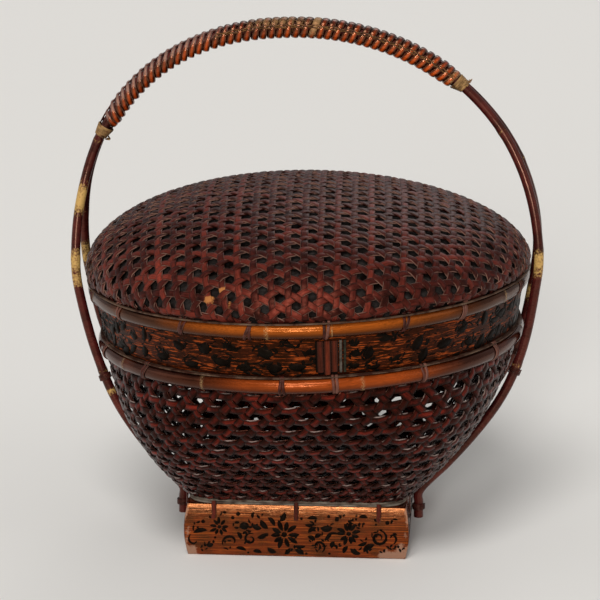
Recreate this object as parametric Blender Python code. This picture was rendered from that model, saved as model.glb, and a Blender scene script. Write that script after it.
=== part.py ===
# A lidded food basket of split bamboo on a square foot, with a fixed bail handle.
# Metres, +Z up, front towards -Y, origin under the middle of the foot.
# Everything is first worked out upright, and each point then takes the place it has in the leaning basket.

import math

import bmesh
import bpy
from mathutils import Matrix, Vector

# One clearance between pieces that touch, and one for pieces that are wound or slid on.
clearance = 0.0003
winding_clearance = 0.0005
lid_clearance = 0.0008

# Foot: four boards of half-round bamboo, mitred, under a square base hoop.
foot_width = 0.122
foot_height = 0.030
board_thickness = 0.0045
board_bulge = 0.0018
board_face_steps = 6
base_hoop_height = 0.0027
base_hoop_lip = 0.0012
base_hoop_width = 0.0115
base_hoop_chamfer = 0.003
lath_width = 0.012
lath_spacing = 0.044
foot_tie_width = 0.0026
foot_tie_thickness = 0.0009
foot_tie_drop = 0.008
foot_tie_inset = 0.015
foot_tie_steps = 4

# Bowl: woven shell, square below and round above.
bowl_base_overhang = 0.0040
bowl_wall = 0.0020
bowl_fullness = 1.52
bowl_base_squareness = 6.5
round_squareness = 2.0
squareness_fade = 1.5
bowl_opening_rows = 6
bowl_low_band = 0.0050
bowl_high_band = 0.0040
opening_height_share = 0.54
opening_swell_share = 0.22
ring_segments = 48

# Rim of the bowl: outer hoop, inner hoop and the collar that stands up inside the lid.
rim_height_above_floor = 0.0785
rim_hoop_radius = 0.1212
rim_hoop_height = 0.0080
rim_hoop_bulge = 0.0039
rim_wall_below_top = 0.0003
rim_inner_hoop_bulge = 0.0025
collar_wall = 0.0018
collar_rise = 0.0110
hoop_edge_share = 0.08
hoop_steps = 5
inner_hoop_steps = 3

# Lid: painted skirt, outer and inner hoop, woven dome.
skirt_wall = 0.0020
skirt_height = 0.0299
skirt_flare = 0.0035
skirt_straight = 0.0100
lid_hoop_height = 0.0085
lid_hoop_bulge = 0.0040
lid_inner_hoop_height = 0.0070
lid_inner_hoop_bulge = 0.0024
dome_rise = 0.0462
dome_overhang = 0.0010
dome_shoulder = 0.0037
dome_lip_inset = 0.0029
dome_wall = 0.0020
dome_squareness = 2.0
dome_steps = 6

# Cane lacing on both hoops.
lace_thickness = 0.0008
lace_width = 0.0032
lace_steps = 4
lid_lace_ring = 0.0012
lid_lace_ring_sides = 5
lid_lace_ring_outset = 0.0034
lid_lace_ring_lift = 0.0002
rim_ledge_width = 0.0042
rim_ledge_thickness = 0.0010
rim_ledge_inset = 0.0019
lace_low_angle = 82
lace_high_angle = 52
ledge_high_angle = 80
lid_tie_angles = (-71, -52, -29, -11, 8, 28, 45.5, 73, 110, 132, 154, 176, 198, 220, 244)
rim_tie_angles = (-69, -45, -3.5, 10, 34, 61, 112, 138, 164, 190, 216, 242)

# Seam of the painted skirt.
tab_angle = 8.3
tab_width = 0.0114
tab_thickness = 0.0013
tab_rib_depth = 0.0005
tab_ribs = 3
tab_rounding_share = 0.25
tab_drop = 0.0005
slat_width = 0.0015
slat_thickness = 0.0010
slat_gap = 0.0007
slat_count = 2
plate_rows = 5
plate_top_gap = 0.0015

# Handle: two rods that straddle the basket, closed up under the grip.
rod_diameter = 0.0055
arch_outset = 0.0037
arch_widest_lift = 0.0047
arch_rise = 0.1300
arch_squareness = 2.15
arch_skew = 0.0080
rod_spread_rim = 0.0210
rod_spread_foot = 0.0270
rod_foot_reach = 0.0165
rod_steps_per_span = 2
spread_start_share = 0.22
bowl_stations = 5
arch_station_angles = (10, 21, 32, 44, 56, 68, 79)
grip_right_angle = 44.2
grip_left_angle = 148.6
grip_strip_width = 0.0062
grip_outer_strip = 0.0018
grip_inner_strip = 0.0015
grip_strip_stations = 26
grip_end_length = 0.0070
grip_end_thickness = 0.0009
grip_end_sides = 20
grip_squareness = 3.6
winding_diameter = 0.0018
winding_loops = 24
winding_points_per_loop = 12
arch_samples = 400
rod_tie_length = 0.0040
rod_tie_thickness = 0.0009
rod_tie_sides = 10
rim_tie_drop = 0.0150
foot_tie_height_share = 0.78

# The old basket leans a little to its left, while the crown of its dome stayed level.
lean_angle = 2.2
lean_pivot_height = 0.219
crown_level_share = 1.0

# Levels and radii that follow from the sizes above.
foot_half = foot_width / 2
base_hoop_bottom = foot_height + clearance
base_hoop_top = base_hoop_bottom + base_hoop_height
bowl_bottom = base_hoop_top + clearance
bowl_base_half = foot_half + bowl_base_overhang
rim_bottom = bowl_bottom + rim_height_above_floor
rim_top = rim_bottom + rim_hoop_height
rim_hoop_inner = rim_hoop_radius - rim_hoop_bulge
wall_radius = rim_hoop_inner - clearance
wall_top = rim_top - rim_wall_below_top
collar_radius = wall_radius - bowl_wall - clearance
collar_top = rim_top + collar_rise
ledge_bottom = rim_top + clearance
ledge_top = ledge_bottom + rim_ledge_thickness
skirt_bottom = ledge_top + clearance
skirt_top = skirt_bottom + skirt_height
skirt_low_radius = collar_radius + lid_clearance + skirt_wall
skirt_radius = skirt_low_radius + skirt_flare
lid_hoop_inner = skirt_radius + clearance
lid_hoop_radius = lid_hoop_inner + lid_hoop_bulge
lid_hoop_bottom = skirt_top - lid_hoop_height
dome_bottom = skirt_top + clearance
dome_radius = lid_hoop_radius + dome_overhang
dome_lip_radius = dome_radius - dome_lip_inset
dome_spring = dome_bottom + dome_shoulder
arch_half_width = dome_radius + arch_outset
arch_widest_height = dome_spring + arch_widest_lift
rod_radius = rod_diameter / 2
rod_tie_bore = (rod_radius + clearance) / math.cos(math.pi / rod_tie_sides)
rod_standoff = rod_tie_bore + rod_tie_thickness + clearance
pair_offset = rod_radius + clearance / 2
strip_offset = rod_radius + clearance
bundle_outer = strip_offset + grip_outer_strip
bundle_inner = strip_offset + grip_inner_strip
bundle_half_height = (bundle_outer + bundle_inner) / 2
bundle_rise = (bundle_outer - bundle_inner) / 2
bundle_half_width = pair_offset + rod_radius

lean_turn = Matrix.Rotation(math.radians(-lean_angle), 3, "Y")
lean_pivot = Vector((0, 0, lean_pivot_height))


def clear_scene():
    for item in list(bpy.data.objects):
        bpy.data.objects.remove(item, do_unlink=True)


def eased(share):
    share = min(max(share, 0), 1)
    return share * share * (3 - 2 * share)


def settled(point):
    """The foot stands level, the rim and all above it turn as one, and the bowl follows in between."""
    share = eased((point.z - bowl_bottom) / (rim_bottom - bowl_bottom))
    turned = lean_turn @ (point - lean_pivot) + lean_pivot
    return point.lerp(turned, share)


def finish(name, colour, roughness):
    material = bpy.data.materials.new(name)
    material.use_nodes = True
    shader = material.node_tree.nodes["Principled BSDF"]
    shader.inputs["Base Color"].default_value = (*colour, 1)
    shader.inputs["Roughness"].default_value = roughness
    shader.inputs["Metallic"].default_value = 0
    return material


def add_solid(name, points, faces, material, sharp_angle=40):
    """One closed mesh from upright points, moved to their places in the leaning basket."""
    mesh = bpy.data.meshes.new(name)
    mesh.from_pydata([settled(Vector(point)) for point in points], [], faces)
    work = bmesh.new()
    work.from_mesh(mesh)
    bmesh.ops.recalc_face_normals(work, faces=work.faces)
    work.to_mesh(mesh)
    work.free()
    mesh.shade_smooth()
    mesh.set_sharp_from_angle(angle=math.radians(sharp_angle))
    mesh.materials.append(material)
    solid = bpy.data.objects.new(name, mesh)
    bpy.context.collection.objects.link(solid)
    return solid


def bridged(rings, closed_ends=True, joined=False):
    """Faces between rings of points of equal count: caps at both ends, or the last ring joined to the first."""
    count = len(rings[0])
    points = [point for ring in rings for point in ring]
    faces = []
    pairs = len(rings) if joined else len(rings) - 1
    for row in range(pairs):
        here = row * count
        there = (row + 1) % len(rings) * count
        for i in range(count):
            after = (i + 1) % count
            faces.append((here + i, here + after, there + after, there + i))
    if closed_ends and not joined:
        faces.append(tuple(range(count)))
        faces.append(tuple(range((len(rings) - 1) * count, len(rings) * count)))
    return points, faces


def lathe(name, section, material):
    """A closed section of (radius, height) points carried round the upright axis."""
    rings = []
    for i in range(ring_segments):
        angle = 2 * math.pi * i / ring_segments
        rings.append([(r * math.cos(angle), r * math.sin(angle), z) for r, z in section])
    points, faces = bridged(rings, joined=True)
    return add_solid(name, points, faces, material)


def half_round(inner, bulge, bottom, height, steps=hoop_steps):
    """Section of a split-bamboo hoop, flat at the inner radius and rounded to bulge past it; a negative bulge
    rounds towards the axis."""
    middle = bottom + height / 2
    edge = bulge * hoop_edge_share
    section = [(inner, bottom), (inner, bottom + height)]
    for i in range(steps + 1):
        angle = math.pi / 2 - math.pi * i / steps
        reach = edge + (bulge - edge) * math.cos(angle)
        section.append((inner + reach, middle + height / 2 * math.sin(angle)))
    return section


def squareness(height):
    """Exponent of the bowl's rounded-square outline at a height: 2 is a circle."""
    share = min(max((height - bowl_bottom) / (rim_bottom - bowl_bottom), 0), 1)
    return round_squareness + (bowl_base_squareness - round_squareness) * (1 - share) ** squareness_fade


def bowl_half(height):
    share = min(max((height - bowl_bottom) / (rim_bottom - bowl_bottom), 0), 1)
    return bowl_base_half + (wall_radius - bowl_base_half) * (1 - (1 - share) ** bowl_fullness)


def opening_starts(row, i):
    """Whether an opening of this row of the bowl's wall starts at the ring's point i; rows are staggered."""
    return (row + i) % 2 == 1


def bowl_ring(height, inset=0, row=0, swell_share=0):
    """One ring of the bowl's rounded-square outline, the openings of a row widened by swell_share of a step."""
    half = bowl_half(height) - inset
    power = squareness(height)
    ring = []
    for i in range(ring_segments):
        side = -1 if opening_starts(row, i) else 1
        angle = 2 * math.pi * (i + side * swell_share) / ring_segments
        c, s = math.cos(angle), math.sin(angle)
        reach = half / (abs(c) ** power + abs(s) ** power) ** (1 / power)
        ring.append((reach * c, reach * s, height))
    return ring


def build_foot(lacquer, cane):
    inner_half = foot_half - board_thickness
    section = [(0, foot_height), (0, 0)]
    for i in range(board_face_steps + 1):
        share = i / board_face_steps
        section.append((board_face(share * foot_height) - inner_half, share * foot_height))
    mitre_gap = clearance / 2
    for name, angle in (("front", 0), ("right", 90), ("back", 180), ("left", 270)):
        turn = Matrix.Rotation(math.radians(angle), 3, "Z")
        ends = []
        for side in (-1, 1):
            ends.append([
                turn @ Vector((side * (inner_half + out - mitre_gap), -inner_half - out, z))
                for out, z in section
            ])
        points, faces = bridged(ends)
        add_solid(f"foot_board_{name}", points, faces, lacquer)
        for place, offset in zip(("left", "middle", "right"), (-1, 0, 1)):
            build_foot_tie(f"foot_tie_{name}_{place}", turn, offset * (foot_half - foot_tie_inset), cane)


def board_face(height):
    """Distance of a foot board's outer face from the middle of the foot."""
    share = 2 * height / foot_height - 1
    return foot_half + board_bulge * (1 - share * share)


def build_foot_tie(name, turn, offset, cane):
    """A strap of cane down the face of a board, from the base hoop's edge."""
    low = foot_height - foot_tie_drop
    inner, outer = [], []
    for i in range(foot_tie_steps + 1):
        height = low + (base_hoop_top - low) * i / foot_tie_steps
        face = max(board_face(min(height, foot_height)), foot_half + base_hoop_lip) + clearance
        inner.append((face, height))
        outer.append((face + foot_tie_thickness, height))
    section = inner + outer[::-1]
    ends = []
    for side in (-1, 1):
        ends.append([turn @ Vector((offset + side * foot_tie_width / 2, -out, z)) for out, z in section])
    points, faces = bridged(ends)
    add_solid(name, points, faces, cane)


def build_base_hoop(cane):
    """Square ring of cane between the boards and the bowl, and two laths across its opening under the floor."""
    outer = foot_half + base_hoop_lip
    inner = outer - base_hoop_width
    rings = []
    for half, chamfer, z in (
        (outer, base_hoop_chamfer, base_hoop_bottom),
        (outer, base_hoop_chamfer, base_hoop_top),
        (inner, base_hoop_chamfer, base_hoop_top),
        (inner, base_hoop_chamfer, base_hoop_bottom),
    ):
        near = half - chamfer
        rings.append([
            (half, -near, z), (half, near, z), (near, half, z), (-near, half, z),
            (-half, near, z), (-half, -near, z), (-near, -half, z), (near, -half, z),
        ])
    points, faces = bridged(rings, joined=True)
    add_solid("base_hoop", points, faces, cane)
    reach = inner - clearance
    for name, side in (("floor_lath_front", -1), ("floor_lath_back", 1)):
        middle = side * lath_spacing / 2
        ends = []
        for x in (-reach, reach):
            ends.append([
                (x, middle - lath_width / 2, base_hoop_bottom), (x, middle + lath_width / 2, base_hoop_bottom),
                (x, middle + lath_width / 2, base_hoop_top), (x, middle - lath_width / 2, base_hoop_top),
            ])
        points, faces = bridged(ends)
        add_solid(name, points, faces, cane)


def build_bowl(weave):
    """Woven wall and floor as one shell, open at the top, with staggered rows of six-sided openings in its wall."""
    pitch = (rim_height_above_floor - bowl_low_band - bowl_high_band) / bowl_opening_rows
    levels = []
    for row in range(bowl_opening_rows):
        middle = bowl_bottom + bowl_low_band + pitch * (row + 0.5)
        reach = pitch * opening_height_share / 2
        levels += [(middle - reach, row, 0), (middle, row, opening_swell_share), (middle + reach, row, 0)]
    rings = [bowl_ring(bowl_bottom)]
    rings += [bowl_ring(height, 0, row, swell_share) for height, row, swell_share in levels]
    rings += [bowl_ring(rim_bottom), bowl_ring(wall_top)]
    rings += [bowl_ring(wall_top, bowl_wall), bowl_ring(rim_bottom, bowl_wall)]
    rings += [bowl_ring(height, bowl_wall, row, swell_share) for height, row, swell_share in levels[::-1]]
    rings.append(bowl_ring(bowl_bottom + bowl_wall, bowl_wall))
    points, faces = bridged(rings)
    rings_per_row = len(levels) // bowl_opening_rows
    last = len(rings) - 1
    cut = set()
    edges = []
    for row in range(bowl_opening_rows):
        low = 1 + row * rings_per_row
        for i in range(ring_segments):
            if opening_starts(row, i):
                after = (i + 1) % ring_segments
                outside = [(low, i), (low, after), (low + 1, after), (low + 2, after), (low + 2, i), (low + 1, i)]
                inside = [(last - ring, point) for ring, point in outside]
                cut |= {(low, i), (low + 1, i), (last - low - 1, i), (last - low - 2, i)}
                edges.append([[ring * ring_segments + point for ring, point in loop] for loop in (outside, inside)])
    faces = [face for number, face in enumerate(faces) if divmod(number, ring_segments) not in cut]
    for outside, inside in edges:
        for i in range(len(outside)):
            j = (i + 1) % len(outside)
            faces.append((outside[i], outside[j], inside[j], inside[i]))
    add_solid("bowl_weave", points, faces, weave)


def build_rim(lacquer, cane):
    lathe("rim_outer_hoop", half_round(rim_hoop_inner, rim_hoop_bulge, rim_bottom, rim_hoop_height), lacquer)
    inner = collar_radius - collar_wall
    collar = [
        (inner, rim_bottom), (collar_radius, rim_bottom), (collar_radius, collar_top), (inner, collar_top),
    ]
    lathe("rim_collar", collar, lacquer)
    hoop = half_round(inner - clearance, -rim_inner_hoop_bulge, rim_bottom, rim_hoop_height, inner_hoop_steps)
    lathe("rim_inner_hoop", hoop, lacquer)
    outer = skirt_low_radius + rim_ledge_width - rim_ledge_inset
    ledge = [
        (outer - rim_ledge_width, ledge_bottom), (outer, ledge_bottom),
        (outer, ledge_top), (outer - rim_ledge_width, ledge_top),
    ]
    ring = lathe("rim_lacing", ledge, cane)
    middle = (rim_hoop_inner, rim_bottom + rim_hoop_height / 2)
    lace(ring, middle, rim_hoop_bulge, rim_hoop_height / 2, ledge_high_angle, rim_tie_angles)


def lace(ring, middle, bulge, half_height, high_angle, angles):
    """Straps of cane round the outside of a hoop, united with the ring that they hang from."""
    section = []
    for depth, order in ((clearance, 1), (clearance + lace_thickness, -1)):
        arc = []
        for i in range(lace_steps + 1):
            angle = math.radians(-lace_low_angle + (lace_low_angle + high_angle) * i / lace_steps)
            reach = (bulge + depth) * math.cos(angle)
            arc.append((middle[0] + reach, middle[1] + (half_height + depth) * math.sin(angle)))
        section += arc[::order]
    all_points, all_faces = [], []
    for angle in angles:
        around = math.radians(angle)
        out = Vector((math.sin(around), -math.cos(around), 0))
        along = Vector((math.cos(around), math.sin(around), 0))
        ends = []
        for side in (-1, 1):
            ends.append([out * r + along * side * lace_width / 2 + Vector((0, 0, z)) for r, z in section])
        points, faces = bridged(ends)
        start = len(all_points)
        all_points += points
        all_faces += [tuple(start + index for index in face) for face in faces]
    straps = add_solid(f"{ring.name}_straps", all_points, all_faces, ring.data.materials[0])
    straps.hide_render = True
    straps.display_type = "WIRE"
    union = ring.modifiers.new("straps", "BOOLEAN")
    union.operation = "UNION"
    union.solver = "EXACT"
    union.object = straps


def skirt_face(height):
    """Outer radius of the painted skirt at a height."""
    share = min((height - skirt_bottom) / (skirt_height - skirt_straight), 1)
    return skirt_low_radius + skirt_flare * share


def dome_ring(radius, height):
    """One ring of the dome, its crown level again however far the hoops below it lean."""
    share = math.sqrt(min(max((height - dome_spring) / dome_rise, 0), 1)) * crown_level_share
    slope = math.tan(math.radians(lean_angle)) * share
    ring = []
    for i in range(ring_segments):
        angle = 2 * math.pi * i / ring_segments
        x, y = radius * math.cos(angle), radius * math.sin(angle)
        ring.append((x, y, height - x * slope))
    return ring


def dome_profile(inset):
    """(radius, height) from the lip up to beside the crown, set inwards by inset."""
    profile = [(dome_lip_radius - inset, dome_bottom)]
    for i in range(dome_steps):
        angle = math.pi / 2 * i / dome_steps
        reach = math.cos(angle) ** (2 / dome_squareness)
        rise = math.sin(angle) ** (2 / dome_squareness)
        profile.append(((dome_radius - inset) * reach, dome_spring + (dome_rise - inset) * rise))
    return profile


def build_lid(weave, lacquer, painted, cane):
    rings = [dome_ring(radius, height) for radius, height in dome_profile(0)[::-1]]
    rings += [dome_ring(radius, height) for radius, height in dome_profile(dome_wall)]
    points, faces = bridged(rings, closed_ends=False)
    last = len(rings) - 1
    for row, height in ((0, dome_spring + dome_rise), (last, dome_spring + dome_rise - dome_wall)):
        points.append((0, 0, height))
        start = row * ring_segments
        for i in range(ring_segments):
            faces.append((start + i, start + (i + 1) % ring_segments, len(points) - 1))
    add_solid("lid_dome_weave", points, faces, weave)
    lathe("lid_outer_hoop", half_round(lid_hoop_inner, lid_hoop_bulge, lid_hoop_bottom, lid_hoop_height), lacquer)
    straight = skirt_top - skirt_straight
    skirt = [
        (skirt_low_radius - skirt_wall, skirt_bottom), (skirt_low_radius, skirt_bottom),
        (skirt_radius, straight), (skirt_radius, skirt_top),
        (skirt_radius - skirt_wall, skirt_top), (skirt_radius - skirt_wall, straight),
    ]
    lathe("lid_skirt_band", skirt, painted)
    inner = skirt_radius - skirt_wall - clearance
    low = skirt_top - lid_inner_hoop_height
    hoop = half_round(inner, -lid_inner_hoop_bulge, low, lid_inner_hoop_height, inner_hoop_steps)
    lathe("lid_inner_hoop", hoop, lacquer)
    middle = (lid_hoop_inner, lid_hoop_bottom + lid_hoop_height / 2)
    centre = (lid_hoop_inner + lid_lace_ring_outset, skirt_top + lid_lace_ring_lift)
    section = []
    for i in range(lid_lace_ring_sides):
        angle = 2 * math.pi * i / lid_lace_ring_sides
        reach = lid_lace_ring / 2
        section.append((centre[0] + reach * math.cos(angle), centre[1] + reach * math.sin(angle)))
    ring = lathe("lid_lacing", section, cane)
    lace(ring, middle, lid_hoop_bulge, lid_hoop_height / 2, lace_high_angle, lid_tie_angles)
    top = lid_hoop_bottom - plate_top_gap
    skirt_plate("lid_seam_tab", tab_angle, tab_width, tab_thickness, tab_ribs, skirt_bottom + tab_drop, top, painted)
    edge = tab_width / 2
    for i in range(slat_count):
        offset = edge + (slat_gap + slat_width) * (i + 1) - slat_width / 2
        angle = tab_angle + math.degrees(offset / skirt_radius)
        name = f"lid_seam_slat_{i + 1}"
        skirt_plate(name, angle, slat_width, slat_thickness, 1, skirt_bottom + plate_top_gap, top, cane)


def skirt_plate(name, angle, width, thickness, ribs, low, high, material):
    """A thin plate on the skirt's face, ribbed from top to bottom and rounded at its lower end."""
    columns = 2 * ribs + 1
    rings = []
    for row in range(plate_rows):
        share = row / (plate_rows - 1)
        ring = []
        for depth, order in ((clearance, 1), (clearance + thickness, -1)):
            line = []
            for column in range(columns):
                across = 2 * column / (columns - 1) - 1
                foot = low + width * tab_rounding_share * across * across if ribs > 1 else low
                z = foot + (high - foot) * share
                valley = tab_rib_depth if order < 0 and column % 2 == 0 else 0
                r = skirt_face(z) + depth - valley
                around = math.radians(angle) + across * width / 2 / skirt_radius
                line.append((r * math.sin(around), -r * math.cos(around), z))
            ring += line[::order]
        rings.append(ring)
    points, faces = bridged(rings)
    add_solid(name, points, faces, material)


def arch_point(angle):
    """Middle of the handle in the plane of the arch, by its angle from the right side."""
    turn = math.radians(angle)
    side = 1 if math.cos(turn) >= 0 else -1
    reach = abs(math.cos(turn)) ** (2 / arch_squareness) * side
    rise = math.sin(turn) ** (2 / arch_squareness)
    x = arch_half_width * reach - arch_skew * rise * rise
    return Vector((x, 0, arch_widest_height + arch_rise * rise))


class Grip:
    """The wrapped stretch of the arch, read by the share of its length from the right end."""

    def __init__(self):
        span = grip_left_angle - grip_right_angle
        self.points = [arch_point(grip_right_angle + span * i / arch_samples) for i in range(arch_samples + 1)]
        self.lengths = [0]
        for here, there in zip(self.points, self.points[1:]):
            self.lengths.append(self.lengths[-1] + (there - here).length)
        self.length = self.lengths[-1]

    def place(self, distance):
        """Point, direction along the arch and direction out of it, at a distance from the right end."""
        i = 0
        while i < arch_samples - 1 and self.lengths[i + 1] < distance:
            i += 1
        step = self.lengths[i + 1] - self.lengths[i]
        share = (distance - self.lengths[i]) / step
        point = self.points[i].lerp(self.points[i + 1], share)
        along = (self.points[min(i + 2, arch_samples)] - self.points[max(i - 1, 0)]).normalized()
        out = Vector((along.z, 0, -along.x))
        return point, along, out


def rod_spread(height, grip_end):
    """Distance of each rod from the middle plane at a height."""
    start = rim_top + (grip_end - rim_top) * spread_start_share
    if height >= rim_bottom:
        share = eased((height - start) / (grip_end - start))
        return rod_spread_rim + (pair_offset - rod_spread_rim) * share
    share = (rim_bottom - height) / (rim_bottom - bowl_bottom)
    return rod_spread_rim + (rod_spread_foot - rod_spread_rim) * min(share, 1)


def beside_bowl(height, grip_end):
    """Rod's middle beside the bowl's wall, held off it by a tie's thickness."""
    step = bowl_wall
    spread = rod_spread(height, grip_end)
    power = squareness(height)

    def wall(at):
        half = bowl_half(at)
        return (half ** squareness(at) - spread ** squareness(at)) ** (1 / squareness(at))

    slope = (wall(height + step) - wall(height)) / step
    length = math.sqrt(1 + slope * slope)
    reach = (bowl_half(height) ** power - spread ** power) ** (1 / power)
    return Vector((reach + rod_standoff / length, spread, height - rod_standoff * slope / length))


def rod_side(grip_end):
    """Places of one rod from the foot up to where the arch is widest, on the right side."""
    low = foot_height - rod_foot_reach
    beside_foot = foot_half + board_bulge + rod_standoff
    places = [
        Vector((beside_foot, rod_spread_foot, low)),
        Vector((beside_foot, rod_spread_foot, (low + foot_height) / 2)),
    ]
    top = rim_bottom - rim_tie_drop
    for i in range(bowl_stations):
        height = bowl_bottom + (top - bowl_bottom) * i / (bowl_stations - 1)
        places.append(beside_bowl(height, grip_end))
    spread = rod_spread_rim
    hoop_edge = math.sqrt(rim_hoop_radius ** 2 - spread ** 2)
    past_hoop = hoop_edge + rod_radius + winding_clearance
    places.append(Vector((past_hoop, spread, rim_bottom + rim_hoop_height / 2)))
    places.append(Vector(((past_hoop + 2 * arch_half_width) / 3, spread, (rim_top + arch_widest_height) / 2)))
    return places


def rod_path(side):
    """Places of a whole rod, from its right foot over the arch to its left foot; side is -1 for the front rod."""
    right_end = arch_point(grip_right_angle).z
    left_end = arch_point(grip_left_angle).z
    places = rod_side(right_end)
    places.append(Vector((arch_half_width, rod_spread(arch_widest_height, right_end), arch_widest_height)))
    for angle in arch_station_angles:
        point = arch_point(angle)
        places.append(Vector((point.x, rod_spread(point.z, right_end), point.z)))
    top = arch_point(90)
    places.append(Vector((top.x, pair_offset, top.z)))
    for angle in arch_station_angles[::-1]:
        point = arch_point(180 - angle)
        places.append(Vector((point.x, rod_spread(point.z, left_end), point.z)))
    places.append(Vector((-arch_half_width, rod_spread(arch_widest_height, left_end), arch_widest_height)))
    places += [Vector((-place.x, place.y, place.z)) for place in rod_side(left_end)[::-1]]
    return [Vector((place.x, place.y * side, place.z)) for place in places]


def smoothed(places, steps):
    """Points on a smooth curve through the places."""
    points = []
    for i in range(len(places) - 1):
        before = places[max(i - 1, 0)]
        after = places[min(i + 2, len(places) - 1)]
        here, there = places[i], places[i + 1]
        for step in range(steps):
            t = step / steps
            points.append(0.5 * (
                2 * here + (there - before) * t
                + (2 * before - 5 * here + 4 * there - after) * t * t
                + (3 * here - before - 3 * there + after) * t * t * t
            ))
    points.append(places[-1])
    return points


def add_tube(name, points, diameter, resolution, material):
    curve = bpy.data.curves.new(name, "CURVE")
    curve.dimensions = "3D"
    curve.bevel_depth = diameter / 2
    curve.bevel_resolution = resolution
    curve.use_fill_caps = True
    line = curve.splines.new("POLY")
    line.points.add(len(points) - 1)
    for target, point in zip(line.points, points):
        target.co = (*settled(point), 1)
    curve.materials.append(material)
    tube = bpy.data.objects.new(name, curve)
    bpy.context.collection.objects.link(tube)
    return tube


def add_ring_round(name, point, along, first, second, outlines, length, material):
    """A short tube whose inner and outer outline are given in the first and second directions."""
    rings = []
    for outline, end in ((0, -1), (0, 1), (1, 1), (1, -1)):
        start = point + along * end * length / 2
        rings.append([start + first * a + second * b for a, b in outlines[outline]])
    points, faces = bridged(rings, joined=True)
    return add_solid(name, points, faces, material)


def outline(first_half, second_half, power, count):
    """Rounded outline with these half sizes, as (first, second) pairs."""
    pairs = []
    for i in range(count):
        angle = 2 * math.pi * i / count
        c, s = math.cos(angle), math.sin(angle)
        a = first_half * math.copysign(abs(c) ** (2 / power), c)
        b = second_half * math.copysign(abs(s) ** (2 / power), s)
        pairs.append((a, b))
    return pairs


def build_rods(lacquer, cane):
    for name, side in (("front", -1), ("back", 1)):
        places = rod_path(side)
        add_tube(f"handle_rod_{name}", smoothed(places, rod_steps_per_span), rod_diameter, 1, lacquer)
        for hand, order in (("right", 1), ("left", -1)):
            ordered = places[::order]
            seats = (
                ("foot_lashing", ordered[0].lerp(ordered[1], foot_tie_height_share), ordered[1] - ordered[0]),
                ("rim_lashing", ordered[bowl_stations + 1], ordered[bowl_stations + 2] - ordered[bowl_stations]),
            )
            for kind, point, along in seats:
                build_lashing(f"{kind}_{hand}_{name}", point, along.normalized(), cane)


def build_lashing(name, point, along, cane):
    """A turn of cane that binds a rod to what stands behind it."""
    first = along.cross(Vector((0, 1, 0))).normalized()
    second = along.cross(first)
    bore = outline(rod_tie_bore, rod_tie_bore, 2, rod_tie_sides)
    outside = outline(rod_tie_bore + rod_tie_thickness, rod_tie_bore + rod_tie_thickness, 2, rod_tie_sides)
    add_ring_round(name, point, along, first, second, (bore, outside), rod_tie_length, cane)


def build_grip(lacquer, cane):
    grip = Grip()
    across = Vector((0, 1, 0))
    for name, low, high in (
        ("grip_strip_outer", strip_offset, bundle_outer),
        ("grip_strip_inner", -bundle_inner, -strip_offset),
    ):
        rings = []
        for i in range(grip_strip_stations):
            point, along, out = grip.place(grip.length * i / (grip_strip_stations - 1))
            half = across * grip_strip_width / 2
            rings.append([
                point + out * low - half, point + out * low + half,
                point + out * high + half, point + out * high - half,
            ])
        points, faces = bridged(rings)
        add_solid(name, points, faces, lacquer)
    bore_height = bundle_half_height + clearance
    bore_width = bundle_half_width + clearance
    outlines = (
        outline(bore_height, bore_width, grip_squareness, grip_end_sides),
        outline(bore_height + grip_end_thickness, bore_width + grip_end_thickness, grip_squareness, grip_end_sides),
    )
    for name, distance in (
        ("grip_end_right", grip_end_length / 2),
        ("grip_end_left", grip.length - grip_end_length / 2),
    ):
        point, along, out = grip.place(distance)
        add_ring_round(name, point + out * bundle_rise, along, out, across, outlines, grip_end_length, cane)
    build_winding(grip, across, cane)


def build_winding(grip, across, cane):
    """One unbroken strand of cane round the rods and strips, from one end band to the other."""
    half_height = bundle_half_height + winding_clearance + winding_diameter / 2
    half_width = bundle_half_width + winding_clearance + winding_diameter / 2
    start = grip_end_length + clearance
    straight = winding_diameter
    run = grip.length - 2 * (start + straight)
    distances = [start]
    turns = [0]
    steps = winding_loops * winding_points_per_loop
    for i in range(steps + 1):
        distances.append(start + straight + run * i / steps)
        turns.append(2 * math.pi * i / winding_points_per_loop)
    distances.append(grip.length - start)
    turns.append(turns[-1])
    points = []
    for distance, turn in zip(distances, turns):
        point, along, out = grip.place(distance)
        c, s = math.cos(turn), math.sin(turn)
        reach = 1 / (abs(c) ** grip_squareness + abs(s) ** grip_squareness) ** (1 / grip_squareness)
        rise = bundle_rise + half_height * reach * c
        points.append(point + out * rise + across * half_width * reach * s)
    add_tube("grip_winding", points, winding_diameter, 1, cane)
    least = min(
        (points[i] - points[j]).length
        for i in range(len(points))
        for j in range(i + winding_points_per_loop // 2, len(points))
        if j - i <= 2 * winding_points_per_loop
    )
    print("least gap of the winding to itself, mm:", round((least - winding_diameter) * 1000, 2))


clear_scene()
red_lacquer = finish("red lacquered bamboo", (0.33, 0.09, 0.035), 0.35)
orange_lacquer = finish("orange lacquered bamboo", (0.48, 0.17, 0.05), 0.3)
painted_lacquer = finish("painted lacquer", (0.36, 0.12, 0.05), 0.4)
dark_weave = finish("dark lacquered weave", (0.10, 0.028, 0.022), 0.5)
rod_lacquer = finish("maroon lacquered bamboo", (0.19, 0.06, 0.055), 0.4)
bare_cane = finish("worn cane", (0.42, 0.27, 0.16), 0.55)
build_foot(orange_lacquer, bare_cane)
build_base_hoop(bare_cane)
build_bowl(dark_weave)
build_rim(red_lacquer, bare_cane)
build_lid(dark_weave, orange_lacquer, painted_lacquer, bare_cane)
build_rods(rod_lacquer, bare_cane)
build_grip(rod_lacquer, bare_cane)
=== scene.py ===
# An old lidded food basket of split bamboo and cane on a square foot, dressed over its CAD frame.
# Metres, +Z up, the front towards -Y. Angles round the basket start at the front and grow to its right.
import math
import random

import bmesh
import bpy
import numpy as np
from mathutils import Matrix, Vector


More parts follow.
